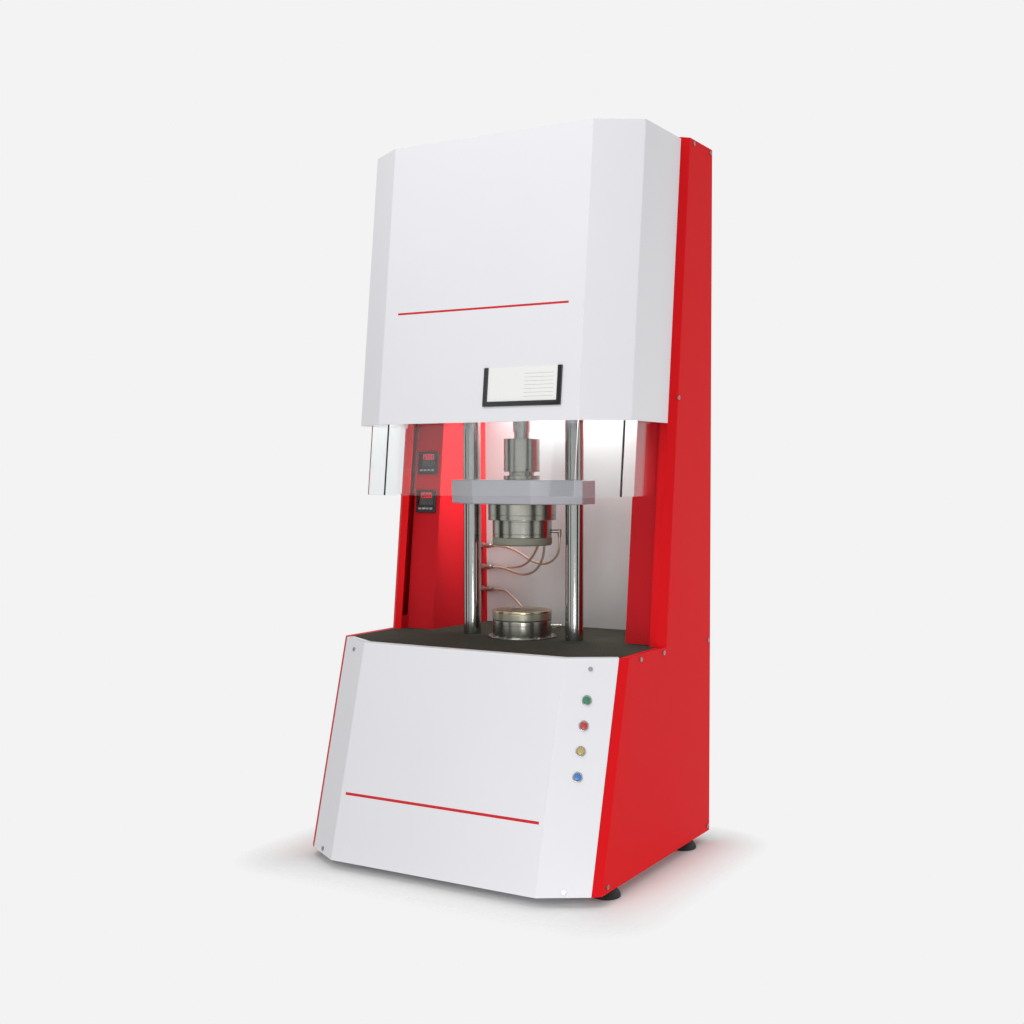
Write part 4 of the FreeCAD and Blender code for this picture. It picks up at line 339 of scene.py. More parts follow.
WHITE = finish("White powder coat", POWDER, (231, 231, 235), 0.45, bump=0.06, gloss=0.25)
RED = finish("Red powder coat", POWDER, (218, 24, 30), 0.5, bump=0.06, gloss=0.05, cloud=0.03)
# Side panels' red made darker for the towers: painted shade inside the chamber.
TOWER_RED_PAINTED_SHADE = finish("Red powder coat with painted shade", POWDER, (190, 31, 38), 0.5, bump=0.06, gloss=0.05, cloud=0.03)
GREY = finish("Grey powder coat", POWDER, (205, 206, 209), 0.5, bump=0.08)
DARK = finish("Dark frame paint", POWDER, (70, 72, 75), 0.5, bump=0.1)
STRIPE = finish("Red stripe", POWDER, (205, 20, 30), 0.35, bump=0.02)
MOTOR = finish("Black enamel", POWDER, (38, 39, 42), 0.4, bump=0.1)
BLACK = finish("Black moulded plastic", PEBBLED, (30, 30, 32), 0.4, bump=0.1, contrast=0.1, pebble=1600.0)
HOLDER = finish("Black lacquered holder", POWDER, (24, 24, 26), 0.25, bump=0.03, coat=0.4)
# Black rubber for the feet; the same black is painted shade in the coupling's spanner holes.
RUBBER_AND_HOLE_SHADE = finish("Black rubber and painted shade of spanner holes", PEBBLED, (26, 26, 27), 0.75, bump=0.3, pebble=900.0)
MAT = finish("Textured table top", PEBBLED, (52, 53, 44), 0.8, bump=0.8, depth=0.0006, contrast=0.9,
             gloss=0.2, pebble=300.0)
SEAL = finish("Grey seal", PEBBLED, (120, 120, 106), 0.6, bump=0.2, contrast=0.15, pebble=1200.0)
WORN = finish("Worn seal rim", TURNED, (150, 149, 132), 0.35, metallic=0.7, bump=0.05, contrast=0.1)
CARD = finish("Blank card", PEBBLED, (238, 238, 236), 0.6, bump=0.05, contrast=0.03)
RULE = finish("Grey rule", PEBBLED, (160, 160, 162), 0.6, bump=0.02, contrast=0.05)
WALL = finish("Brushed chamber wall", BRUSHED, (206, 214, 213), 0.55, metallic=0.35, bump=0.12,
              stretch=(900.0, 4.0, 6.0))
PLATE = finish("Satin crosshead", BRUSHED, (162, 162, 168), 0.5, metallic=0.1, bump=0.1,
               stretch=(8.0, 8.0, 1200.0), contrast=0.08)
BED = finish("Ground bed plate", BRUSHED, (160, 160, 160), 0.4, metallic=1.0, stretch=(8.0, 900.0, 8.0))
ALLOY = finish("Anodised alloy", BRUSHED, (190, 191, 194), 0.4, metallic=1.0, stretch=(6.0, 6.0, 600.0))
CHROME = finish("Hard chrome", TURNED, (164, 166, 163), 0.14, metallic=1.0, bump=0.01, contrast=0.02)
STEEL = finish("Turned stainless", TURNED, (152, 152, 144), 0.22, metallic=1.0, bump=0.006, contrast=0.05)
DULL = finish("Dull die face", TURNED, (128, 122, 104), 0.4, metallic=0.9, bump=0.05)
TINTED = finish("Tinted die plate", TURNED, (186, 172, 140), 0.26, metallic=1.0, bump=0.08)
BRONZE = finish("Bronze", TURNED, (170, 128, 74), 0.35, metallic=1.0, bump=0.1)
NICKEL = finish("Nickel fitting", TURNED, (150, 146, 136), 0.3, metallic=0.7, bump=0.05)
ZINC = finish("Bright zinc", BRUSHED, (150, 150, 148), 0.35, metallic=1.0, bump=0.03)
BRAID = finish("Steel wire braid", BRAIDED, (192, 182, 162), 0.3, metallic=0.35, bump=0.5, depth=0.0004)
WINDOW = finish("Dark display window", POWDER, (34, 12, 14), 0.12, bump=0.0, coat=0.6)
DIGIT = finish("Red digits", POWDER, (226, 30, 44), 0.4, bump=0.0, glow=0.7)
DIM = finish("Dim green digits", POWDER, (70, 92, 66), 0.4, bump=0.0)
KEY = finish("Light keys", PEBBLED, (150, 148, 150), 0.5, bump=0.05, contrast=0.05)
CAPS = {
    name: finish(name.capitalize() + " cap", PEBBLED, color, 0.32, bump=0.02, contrast=0.05, coat=0.4)
    for name, color in (("green", (24, 120, 84)), ("red", (188, 26, 38)), ("yellow", (184, 158, 84)),
                        ("blue", (40, 112, 190)))
}
CLEAR = clear_sheet()


# Mesh helpers

def build(name, verts, faces, material, bevel=0.0, place=None, sharp=35):
    """A finished mesh object at the origin, with faces outwards and optional bevelled edges."""
    mesh = bpy.data.meshes.new(name)
    mesh.from_pydata([tuple(v) for v in verts], [], faces)
    shape = bmesh.new()
    shape.from_mesh(mesh)
    if place is not None:
        bmesh.ops.transform(shape, matrix=place, verts=shape.verts)
    bmesh.ops.remove_doubles(shape, verts=shape.verts, dist=1e-6)
    bmesh.ops.recalc_face_normals(shape, faces=shape.faces)
    shape.to_mesh(mesh)
    shape.free()
    made = add_object(name, mesh)
    if bevel:
        edge = made.modifiers.new("Edges", "BEVEL")
        edge.width, edge.segments = bevel, 2
        edge.limit_method, edge.angle_limit = "ANGLE", math.radians(30)
        settle(made)
        sharp = 50
    made.data.shade_smooth()
    made.data.set_sharp_from_angle(angle=math.radians(sharp))
    flat = made.modifiers.new("Flat faces", "WEIGHTED_NORMAL")
    flat.keep_sharp = True
    settle(made)
    made.data.materials.clear()
    made.data.materials.append(material)
    return made


def settle(made):
    """Turn an object's modifiers into plain mesh."""
    graph = bpy.context.evaluated_depsgraph_get()
    solid = bpy.data.meshes.new_from_object(
        made.evaluated_get(graph), preserve_all_data_layers=True, depsgraph=graph)
    made.modifiers.clear()
    made.data = solid


def join(name, parts):
    """Several pieces of one body as one object that keeps their materials."""
    made = parts[0]
    with bpy.context.temp_override(active_object=made, selected_editable_objects=parts):
        bpy.ops.object.join()
    made.name = name
    return made


def carry(piece, body, slot, *nodes):
    """Put a piece on its body and hide the solids that it stands for; slot, the finish's name, is not used.
    """
    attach(piece, body)
    if nodes:
        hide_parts(*nodes)
    return piece


def lathe(name, profile, material, centre=(0, DIE_Y), closed=False, segments=96, place=None, sharp=35):
    """Turned piece from (radius, height[, fillet]) points in mm; closed joins the last to the first."""
    points = soften([tuple(value * MM for value in point) for point in profile], closed)
    verts, rings = [], []
    for radius, height in points:
        if radius < 1e-7:
            rings.append([len(verts)] * segments)
            verts.append((centre[0], centre[1], height))
            continue
        rings.append(list(range(len(verts), len(verts) + segments)))
        for step in range(segments):
            angle = 2 * math.pi * step / segments
            verts.append((centre[0] + radius * math.cos(angle), centre[1] + radius * math.sin(angle),
                          height))
    faces = []
    for low, high in zip(rings, rings[1:] + rings[:1] if closed else rings[1:]):
        for step in range(segments):
            ahead = (step + 1) % segments
            face = [low[step], low[ahead], high[ahead], high[step]]
            faces.append(list(dict.fromkeys(face)))
    faces = [face for face in faces if len(face) > 2]
    return build(name, verts, faces, material, place=place, sharp=sharp)


def turned_piece(name, profile, material, body, slot, node, **settings):
    """Turned piece that stands for one solid."""
    carry(lathe(name, profile, material, **settings), body, slot, node)


def soften(profile, closed=False, steps=4):
    """Round the corners of a profile whose points give a fillet."""
    count, line = len(profile), []
    for index, (x, y, *fillet) in enumerate(profile):
        corner = Vector((x, y))
        if not fillet or (not closed and index in (0, count - 1)):
            line.append(corner)
            continue
        before = Vector(profile[index - 1][:2])
        after = Vector(profile[(index + 1) % count][:2])
        line += arc_points(before, corner, after, fillet[0], steps)
    return line


def arc_points(before, corner, after, radius, steps):
    """Points of a small rounded corner between two straight runs."""
    back, ahead = before - corner, after - corner
    turn = math.pi - back.angle(ahead)
    reach = min(radius * math.tan(turn / 2), 0.49 * back.length, 0.49 * ahead.length)
    start, end = corner + back.normalized() * reach, corner + ahead.normalized() * reach
    spots = []
    for step in range(steps + 1):
        share = step / steps
        spots.append(start.lerp(corner, share).lerp(corner.lerp(end, share), share))
    return spots


def folded_line(half, fold, front, corner, tail=None, bend=4 * MM):
    """Plan of a sheet bent round two corner facets, from left to right, with rounded folds."""
    right = [(fold, front), (half, corner)] + ([(half, tail)] if tail is not None else [])
    line = [(-x, y) for x, y in reversed(right)] + right
    return soften([(x, y, bend) if bend else (x, y) for x, y in line])


def inset_line(line, wall):
    """The same line moved inwards by a wall's thickness."""
    moved = []
    for index, point in enumerate(line):
        before = line[max(index - 1, 0)]
        after = line[min(index + 1, len(line) - 1)]
        sides = [(point - before), (after - point)]
        normals = [Vector((-side.y, side.x)).normalized() for side in sides if side.length > 1e-9]
        middle = sum(normals, Vector((0, 0))).normalized()
        moved.append(point + middle * wall / max(middle.dot(normals[0]), 0.2))
    return moved


def standing_sheet(name, line, wall, low, high, slope, material, bevel=0.4 * MM):
    """Sheet standing on a plan line; slope moves it back by that much per unit up."""
    verts = []
    for outer, inner in zip(line, inset_line(line, wall)):
        for point, z in ((outer, low), (inner, low), (inner, high), (outer, high)):
            verts.append((point.x, point.y + slope * (z - low), z))
    faces = [tuple(range(4)), tuple(range(len(verts) - 4, len(verts)))]
    for first in range(0, len(verts) - 4, 4):
        for side in range(4):
            here, ahead = first + side, first + (side + 1) % 4
            faces.append((here, ahead, ahead + 4, here + 4))
    return build(name, verts, faces, material, bevel=bevel)


def slab(name, outline, low, high, material, bevel=0.3 * MM, place=None):
    """Flat piece: an outline in X and Y, between two heights."""
    count = len(outline)
    verts = [(x, y, z) for z in (low, high) for x, y in outline]
    faces = [tuple(range(count)), tuple(range(count, 2 * count))]
    faces += [(step, (step + 1) % count, count + (step + 1) % count, count + step) for step in range(count)]
    return build(name, verts, faces, material, bevel=bevel, place=place)


def decal(name, outline, low, high, material, place):
    """Thin sharp-edged slab, for printed marks."""
    return slab(name, outline, low, high, material, bevel=0, place=place)


def rectangle(left, right, low, high, corner=0.0):
    """Outline of a rectangle, with rounded corners where a corner radius is given."""
    points = [(left, low), (right, low), (right, high), (left, high)]
    if corner:
        return [tuple(p) for p in soften([(x, y, corner) for x, y in points], closed=True)]
    return points


def face_place(x, y, z, slope):
    """Matrix that stands a flat piece on a leaning face: its X across, Y up and Z outwards."""
    up = Vector((0, slope, 1)).normalized()
    across = Vector((1, 0, 0))
    out = across.cross(up)
    turn = Matrix((across, up, out)).transposed().to_4x4()
    return Matrix.Translation((x, y, z)) @ turn


def facet_place(x, z):
    """Matrix that stands a turned piece on a corner facet, its Z along the outward normal."""
    side = 1 if x > 0 else -1
    across = Vector((PANEL_X - FOLD_X, FACET_DEEP, 0))
    normal = across.cross(Vector((0, BASE_SLOPE, 1))).normalized()
    normal.x *= side
    up = Vector((0, 0, 1))
    up = (up - normal * up.dot(normal)).normalized()
    turn = Matrix((up.cross(normal), up, normal)).transposed().to_4x4()
    return Matrix.Translation((x, facet_y(x, z), z)) @ turn


def lying_place(x, y, z, degrees=0):
    """Matrix that lays a turned piece down at a place, pointing right and then turned about Z."""
    return (Matrix.Translation((x, y, z)) @ Matrix.Rotation(math.radians(degrees), 4, "Z")
            @ Matrix.Rotation(math.pi / 2, 4, "Y"))


def ends(node):
    """Height of a solid's lowest and highest point, in mm."""
    low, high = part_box(node)
    return low.z / MM, high.z / MM


# Hoses, from the glands to the dies

HOSE_RADIUS = 2.5 * MM
UPPER_ROUTES = [
    [(-175, 243, 576), (-149, 243, 576), (-106, 224, 567), (-62, 190, 555), (-19, 158, 547),
     (22, 128, 551), (52, 108, 567), (63.7, 96.8, 587), (63.7, 96.8, 606)],
    [(-175, 245.8, 530), (-149, 245.8, 530), (-108, 220, 533), (-68, 187, 541), (-31, 154, 559),
     (-6, 134, 583), (3.95, 122.8, 605), (3.95, 122.8, 628.6)],
    [(-175, 240.2, 530), (-149, 240.2, 530), (-106, 212, 522), (-60, 181, 521), (-20, 153, 534),
     (6, 135, 561), (17, 120.6, 594), (17, 120.6, 628.6)],
]
LOWER_ROUTE = [(-175, 243, 482), (-149, 243, 482), (-119, 214, 476), (-86, 185, 467), (-59, 164, 454),
               (-40, 151, 440), (-28.73, 138.94, 430), (-23.94, 125.78, 430)]


def smooth_route(route):
    """Points along the smooth spline that a hose's listed points control."""
    data = bpy.data.curves.new("route", "CURVE")
    data.dimensions = "3D"
    spline = data.splines.new("NURBS")
    spline.points.add(len(route) - 1)
    for point, place in zip(spline.points, route):
        point.co = (*(value * MM for value in place), 1)
    spline.order_u = 3
    spline.use_endpoint_u = True
    spline.resolution_u = 12
    holder = add_object("route", data)
    graph = bpy.context.evaluated_depsgraph_get()
    line = bpy.data.meshes.new_from_object(holder.evaluated_get(graph))
    points = [v.co.copy() for v in line.vertices]
    bpy.data.objects.remove(holder)
    bpy.data.meshes.remove(line)
    return points


def hose_tube(name, points, radius, material, sides=20):
    """Tube round a line, with a map that runs along it in metres and round it in turns."""
    verts, faces, along = [], [], [0.0]
    side = Vector((0, 0, 1))
    for index, point in enumerate(points):
        ahead = (points[min(index + 1, len(points) - 1)] - points[max(index - 1, 0)]).normalized()
        side = (side - ahead * side.dot(ahead)).normalized()
        other = ahead.cross(side)
        for step in range(sides):
            angle = 2 * math.pi * step / sides
            verts.append(point + (side * math.cos(angle) + other * math.sin(angle)) * radius)
        if index:
            along.append(along[-1] + (point - points[index - 1]).length)
    rings = len(points)
    for ring in range(rings - 1):
        for step in range(sides):
            ahead = (step + 1) % sides
            faces.append((ring * sides + step, ring * sides + ahead, (ring + 1) * sides + ahead,
                          (ring + 1) * sides + step))
    faces += [tuple(reversed(range(sides))), tuple(range((rings - 1) * sides, rings * sides))]
    made = build(name, verts, faces, material, sharp=50)
    layer = made.data.uv_layers.new(name="Along")
    for face in made.data.polygons:
        turns = [made.data.loops[loop].vertex_index % sides for loop in face.loop_indices]
        wraps = max(turns) - min(turns) > sides / 2
        for loop, turn in zip(face.loop_indices, turns):
            ring = made.data.loops[loop].vertex_index // sides
            layer.data[loop].uv = (along[ring], (turn + (sides if wraps and turn < sides / 2 else 0)) / sides)
    return made, along[-1]


def hose(name, route):
    """Braided hose along a route, and the points of its line."""
    points = smooth_route(route)
    tube, length = hose_tube(name, points, HOSE_RADIUS, BRAID)
    return tube, points


def hoses():
    """Three hoses to the upper dies on the crosshead, left on no body, and one to the lower die."""
    for number, route in enumerate(UPPER_ROUTES, start=1):
        tube, points = hose("upper_hose_%d" % number, route)
        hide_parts("upper_die_hoses")
        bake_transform(tube)
    tube, points = hose("lower_hose_line", LOWER_ROUTE)
    carry(tube, "cabinet", "braided_hose", "lower_hose")


# Cabinet sheets

LIP, LIP_INSET = 15 * MM, 0.5 * MM
LID_INSET, LID_DROP = 0.6 * MM, 0.1 * MM
STRIPE_THICK = 0.15 * MM


def hood():
    """White hood: bent sheet with side wings, and a lid flush with its top edge."""
    tail = column_front(HOOD_LOW) - GAP
    line = folded_line(PANEL_X, FOLD_X, HOOD_Y, HOOD_Y + FACET_DEEP, tail)
    skin = standing_sheet("hood_skin", line, SHEET, HOOD_LOW, HOOD_TOP, LEAN, WHITE)
    shift = LEAN * (HOOD_TOP - SHEET - HOOD_LOW)
    top = [(p.x, p.y + shift) for p in inset_line(line, LID_INSET)]
    lid = slab("hood_lid", top, HOOD_TOP - SHEET, HOOD_TOP - LID_DROP, WHITE, bevel=0)
    carry(join("hood_sheet", [skin, lid]), "cabinet", "white_paint", "hood")


def front_panel():
    """White front panel with its turned-in top lip."""
    edge, foot = PANEL_X - GAP, base_front(FOOT_HIGH)
    line = folded_line(edge, FOLD_X, foot, foot + FACET_DEEP)
    skin = standing_sheet("front_skin", line, SHEET, FOOT_HIGH, TABLE_Z, BASE_SLOPE, WHITE)
    top = folded_line(edge, FOLD_X, BASE_FRONT, BASE_FRONT + FACET_DEEP, bend=0)
    lip = standing_sheet("front_lip", inset_line(top, LIP_INSET), LIP, TABLE_Z - SHEET, TABLE_Z, 0, WHITE)
    carry(join("front_sheet", [skin, lip]), "cabinet", "white_paint", "front_panel")


def stripe(name, z, half, high, front, slope):
    """Plain red line across a leaning front."""
    line = decal(name, rectangle(-half, half, 0, high), 0, STRIPE_THICK, STRIPE,
                 face_place(0, front(z), z, slope))
    carry(line, "cabinet", "red_paint")


def shield():
    """Clear bent sheet with polished edges."""
    low, high, wall = 690 * MM, 1085 * MM, 5 * MM
    half, fold, facet_deep = 279 * MM, 207 * MM, 45 * MM
    front, tail = hood_front(low) + 18 * MM, column_front(low) + 15 * MM
    line = folded_line(half, fold, front, front + facet_deep, tail, bend=3 * MM)
    sheet = standing_sheet("shield_sheet", line, wall, low, high, LEAN, CLEAR, bevel=0.5 * MM)
    carry(sheet, "shield_assembly", "clear_acrylic", "shield")


# Label, controllers and buttons

LABEL_X, LABEL_Z = 99.5 * MM, 854 * MM
LABEL_HALF, LABEL_HIGH, LABEL_BAR = 81.5 * MM, 72 * MM, 9 * MM
HOLDER_DEEP = 3.5 * MM
CARD_BACK, CARD_FACE, RULE_FACE = 0.1 * MM, 1.3 * MM, 1.36 * MM
RULES = 7
RULE_HIGH, RULE_PITCH = 0.5 * MM, 7 * MM


def label():
    """Open-topped black holder and a blank card with ruled lines."""
    inner = LABEL_HALF - LABEL_BAR
    place = face_place(LABEL_X, hood_front(LABEL_Z), LABEL_Z, LEAN)
    bars = [(-LABEL_HALF, 0), (LABEL_HALF, 0), (LABEL_HALF, LABEL_HIGH), (inner, LABEL_HIGH),
            (inner, LABEL_BAR), (-inner, LABEL_BAR), (-inner, LABEL_HIGH), (-LABEL_HALF, LABEL_HIGH)]
    holder = slab("label_bars", bars, 0, HOLDER_DEEP, HOLDER, bevel=0.7 * MM, place=place)
    carry(holder, "cabinet", "black_frame", "label_holder")
    sheet = rectangle(-inner - 3 * MM, inner + 3 * MM, 3 * MM, LABEL_HIGH - GAP)
    card = slab("card_sheet", sheet, CARD_BACK, CARD_FACE, CARD, bevel=0.2 * MM, place=place)
    rules = []
    for row in range(RULES):
        low = LABEL_BAR + 8 * MM + row * RULE_PITCH
        line = rectangle(4 * MM, inner - 8 * MM, low, low + RULE_HIGH)
        rules.append(decal("rule", line, CARD_FACE, RULE_FACE, RULE, place))
    carry(join("label_sheet", [card] + rules), "cabinet", "card", "label_card")


SEGMENTS = {"0": "abcdef", "1": "bc", "5": "afgcd"}
READING_UPPER, READING_LOWER = "1500", "150"
CONTROLLER_X, CONTROLLER_HEIGHTS = -252 * MM, {"upper_controller": 753.5 * MM, "lower_controller": 673.5 * MM}
TOWER_STEP = 26 * MM
BEZEL_HALF, CASE_HALF, CASE_DEEP = 24 * MM, 22 * MM, 60 * MM
WINDOW_BACK, WINDOW_FACE = 4.9 * MM, 5.3 * MM
DIGIT_BACK, DIGIT_FACE, KEY_FACE = 5.35 * MM, 5.5 * MM, 5.9 * MM


def digit(value, left, low, wide, high, bar, material, place):
    """One seven-segment digit as thin bars."""
    middle, top, right = low + high / 2, low + high, left + wide
    spots = {
        "a": (left, right, top - bar, top), "g": (left, right, middle - bar / 2, middle + bar / 2),
        "d": (left, right, low, low + bar), "f": (left, left + bar, middle, top),
        "b": (right - bar, right, middle, top), "e": (left, left + bar, low, middle),
        "c": (right - bar, right, low, middle),
    }
    return [decal("segment", rectangle(*spots[name]), DIGIT_BACK, DIGIT_FACE, material, place)
            for name in SEGMENTS[value]]


def controller(name):
    """Temperature controller: bezel, dark window, two rows of digits and four keys."""
    z = CONTROLLER_HEIGHTS[name]
    place = face_place(CONTROLLER_X, column_front(z) + TOWER_STEP, z, LEAN)
    front = rectangle(-BEZEL_HALF, BEZEL_HALF, -BEZEL_HALF, BEZEL_HALF, 3 * MM)
    rim = slab(name + "_bezel", front, 0, 5 * MM, BLACK, bevel=1.2 * MM, place=place)
    back = rectangle(-CASE_HALF, CASE_HALF, -CASE_HALF, CASE_HALF)
    body = slab(name + "_case", back, -CASE_DEEP, 0, BLACK, place=place)
    pane = rectangle(-19 * MM, 19 * MM, -8 * MM, 20 * MM, 1.5 * MM)
    glass = slab(name + "_window", pane, WINDOW_BACK, WINDOW_FACE, WINDOW, bevel=0.15 * MM, place=place)
    parts = [rim, body, glass]
    for index, value in enumerate(READING_UPPER):
        parts += digit(value, (-15 + 8 * index) * MM, 7 * MM, 5.6 * MM, 10.5 * MM, 1.3 * MM, DIGIT, place)
    for index, value in enumerate(READING_LOWER):
        parts += digit(value, (-13 + 7 * index) * MM, -5.5 * MM, 4.6 * MM, 8 * MM, 1.0 * MM, DIM, place)
    for index in range(4):
        left = (-17.5 + 9.4 * index) * MM
        key = rectangle(left, left + 7 * MM, -17.5 * MM, -13.5 * MM, 1.2 * MM)
        parts.append(slab(name + "_key", key, WINDOW_BACK, KEY_FACE, KEY, bevel=0.3 * MM, place=place))
    carry(join(name + "_front", parts), "cabinet", "controller_black", name)


BUTTON_X, BUTTON_TOP, BUTTON_PITCH = 256 * MM, 339 * MM, 42.3 * MM

# Radii and heights of the turned pieces, in mm
BEZEL, BUTTON_BODY, BUTTON_BORE, CAP = 9, 8, 6.5, 6.3
BEZEL_FACE, CAP_FACE = 2.6, 5
BUTTON_DEEP, BORE_DEEP, CAP_DEEP = -22, -12, -8


def buttons():
    """Chrome bezels and slightly domed coloured caps."""
    rim = [(BUTTON_BORE, BEZEL_FACE, 0.3), (BEZEL, BEZEL_FACE, 0.8), (BEZEL, 0), (BUTTON_BODY, 0),
           (BUTTON_BODY, BUTTON_DEEP), (0, BUTTON_DEEP), (0, BORE_DEEP), (BUTTON_BORE, BORE_DEEP)]
    dome = [(0, CAP_DEEP), (CAP, CAP_DEEP), (CAP, CAP_FACE - 0.4, 1.2), (3, CAP_FACE - 0.05, 4),
            (0, CAP_FACE)]
    bezels = []
    for index, colour in enumerate(CAPS):
        place = facet_place(BUTTON_X, BUTTON_TOP - index * BUTTON_PITCH)
        bezels.append(lathe("bezel", rim, CHROME, centre=(0, 0), closed=True, segments=48, place=place))
        cap = lathe(colour + "_cap_dome", dome, CAPS[colour], centre=(0, 0), segments=48, place=place)
        carry(cap, colour + "_cap", colour + "_cap", colour + "_button")
    carry(join("bezel_rings", bezels), "cabinet", "bezel_chrome", "button_bezels")


# Dies, coupling, pillars and feet, with their radii and heights in mm

THREAD, PILLAR, PILLAR_FOOT, PILLAR_HEAD = 12, 17.5, 404, 1055
BARREL, NECK, HOLE, ROD, PISTON, PISTON_HIGH = 35.5, 25, 2.5, 17, 49.9, 25
CELL, BLOCK, GUARD = 67, 58.5, 58
DIE, DIE_BORE, DIE_RIM = 49, 49.1, 58.7
GUARD_BORE, FLANGE, FLANGE_FOOT, FLANGE_TOP = 54, 67.5, 410, 413
NOZZLE_Z = 430


def groove(radius, depth, low, slope, flat):
    """Profile points of a groove cut round a turned piece, from below."""
    floor_low = low + slope
    return [(radius, low, 0.3), (radius - depth, floor_low), (radius - depth, floor_low + flat),
            (radius, floor_low + flat + slope, 0.3)]


def die_face(face, inward):
    """Profile points of a die's cavity and its seal groove; inward is 1 where the die is above its face."""
    return [(0, face + 2 * inward), (22, face + inward), (22, face, 0.2), (30, face, 0.2),
            (30.4, face + 0.8 * inward), (31.2, face + 0.8 * inward), (31.6, face, 0.2)]


def seal_ring(name, low_round, high_round, material, body, node):
    """Ring with a plain bore and a rounded outside."""
    low, high = ends(node)
    profile = [(DIE_BORE, low), (BLOCK, low, low_round), (BLOCK, high, high_round), (DIE_BORE, high)]
    turned_piece(name, profile, material, body, "seal_grey", node, closed=True)


def stub(name, profile, material, place, sides=32):
    """Small turned piece laid down at a place."""
    return lathe(name, profile, material, centre=(0, 0), segments=sides, place=place)


def pillars():
    """Ground guide pillars with turned-down threaded ends."""
    for name, x in (("left_pillar", -PILLAR_X), ("right_pillar", PILLAR_X)):
        low, high = ends(name)
        turned_piece(name + "_bar", [
            (0, low), (THREAD, low, 1), (THREAD, PILLAR_FOOT), (PILLAR, PILLAR_FOOT, 0.8),
            (PILLAR, PILLAR_HEAD, 0.8), (THREAD, PILLAR_HEAD), (THREAD, high, 1), (0, high)],
            CHROME, "cabinet", "chrome_pillar", name, centre=(x, DIE_Y))


def coupling_and_rod():
    """Piston rod and the three-band coupling with its joint lines, and painted shade discs for its spanner
    holes.
    """
    plate, top = ends("rod_coupling")
    neck, barrel = plate + 8.5, plate + 15.5
    body = lathe("coupling_turned", [
        (0, plate), (BARREL, plate, 0.6), (BARREL, neck, 0.6), (NECK, neck, 1), (NECK, barrel, 1),
        (BARREL, barrel, 0.8), *groove(BARREL, 1.2, barrel + 9, 0, 1.2),
        *groove(BARREL, 1.2, barrel + 28, 0, 1.2), (BARREL, top, 1.2), (ROD, top), (0, top)], STEEL)
    # The spanner holes are not cut: each is a black disc in the surface, painted shade for the dark inside
    # them.
    floor_at, mouth = BARREL - 0.6, BARREL + 0.02
    hole = [(0, floor_at), (HOLE, floor_at), (HOLE, mouth), (0, mouth)]
    holes = [stub("hole", hole, RUBBER_AND_HOLE_SHADE, lying_place(0, DIE_Y, (barrel + 4.5) * MM, angle), sides=24)
             for angle in (45, 135, 225, 315)]
    carry(join("coupling_barrel", [body] + holes), "crosshead", "turned_steel", "rod_coupling")
    low, high = ends("piston_rod")
    turned_piece("rod_and_piston", [
        (0, low), (12, low), (12, top), (15, top), (15, top + 13), (ROD, top + 13, 1),
        (ROD, high - PISTON_HIGH), (PISTON, high - PISTON_HIGH, 1), (PISTON, high, 1), (0, high)],
        CHROME, "crosshead", "chrome_pillar", "piston_rod")


def upper_dies():
    """Torque cell housing, heater block, seal ring and die under the crosshead."""
    low, high = ends("torque_cell_housing")
    turned_piece("cell_housing_turned", [
        (0, low), (CELL, low, 1.2), *groove(CELL, 0.8, low + 9, 0.4, 0.6), (CELL, high - 0.2, 1),
        (0, high - 0.2)], STEEL, "crosshead", "turned_steel", "torque_cell_housing")
    low, high = ends("upper_heater_block")
    turned_piece("heater_turned", [
        (0, low), (BLOCK, low, 1), *groove(BLOCK, 0.9, low + 6, 0.5, 0.8), (BLOCK, high - 3, 0.3),
        (BLOCK - 0.6, high - 2.6), (BLOCK - 0.6, high), (0, high)],
        STEEL, "crosshead", "turned_steel", "upper_heater_block")
    seal_ring("upper_seal_turned", 6, 2, SEAL, "crosshead", "upper_seal_ring")
    low, high = ends("upper_seal_ring")
    turned_piece("upper_die_turned", [*die_face(low, 1), (DIE, low, 0.4), (DIE, high), (0, high)],
                 STEEL, "crosshead", "turned_steel", "upper_die")


def lower_dies():
    """Fixed guard ring with its foot flange, and the turning holder, seal and die."""
    top = ends("lower_guard_ring")[1]
    guard = [lathe("guard_turned", [
        (GUARD_BORE, FLANGE_FOOT), (FLANGE, FLANGE_FOOT), (FLANGE, FLANGE_TOP, 1), (GUARD, FLANGE_TOP, 0.5),
        *groove(GUARD, 0.7, top - 9, 0.4, 0.6), (GUARD, top, 1.2), (GUARD_BORE, top, 0.5)],
        STEEL, closed=True)]
    for angle, length in ((110, 12), (35, 20)):
        tip = GUARD + length
        guard.append(stub("nozzle", [
            (0, 56), (4, 56), (4, tip - 4, 0.3), (3.4, tip - 4), (3.4, tip, 0.4), (0, tip)], NICKEL,
            lying_place(0, DIE_Y, NOZZLE_Z * MM, angle)))
    carry(join("guard_ring", guard), "cabinet", "turned_steel", "lower_guard_ring")
    low, high = ends("lower_die_holder")
    turned_piece("holder_turned", [(0, low), (DIE, low, 1), (DIE, high), (0, high)],
                 STEEL, "rotor", "turned_steel", "lower_die_holder")
    seal_ring("lower_seal_turned", 2.5, 2.5, WORN, "rotor", "lower_seal_ring")
    face = ends("lower_die")[1]
    back, step, edge = face - 3.5, face - 1.2, DIE + 0.2
    rim = lathe("lower_die_turned", [
        (edge, back), (DIE_RIM, back), (DIE_RIM, face, 1), (edge + 1, face, 0.3), (edge + 1, step),
        (edge, step)], TINTED, closed=True)
    plate = lathe("lower_die_face", [
        (0, back), (edge, back), (edge, step), (DIE, face, 0.3), *reversed(die_face(face, -1))], DULL)
    carry(join("lower_die_plate", [rim, plate]), "rotor", "die_plate", "lower_die")


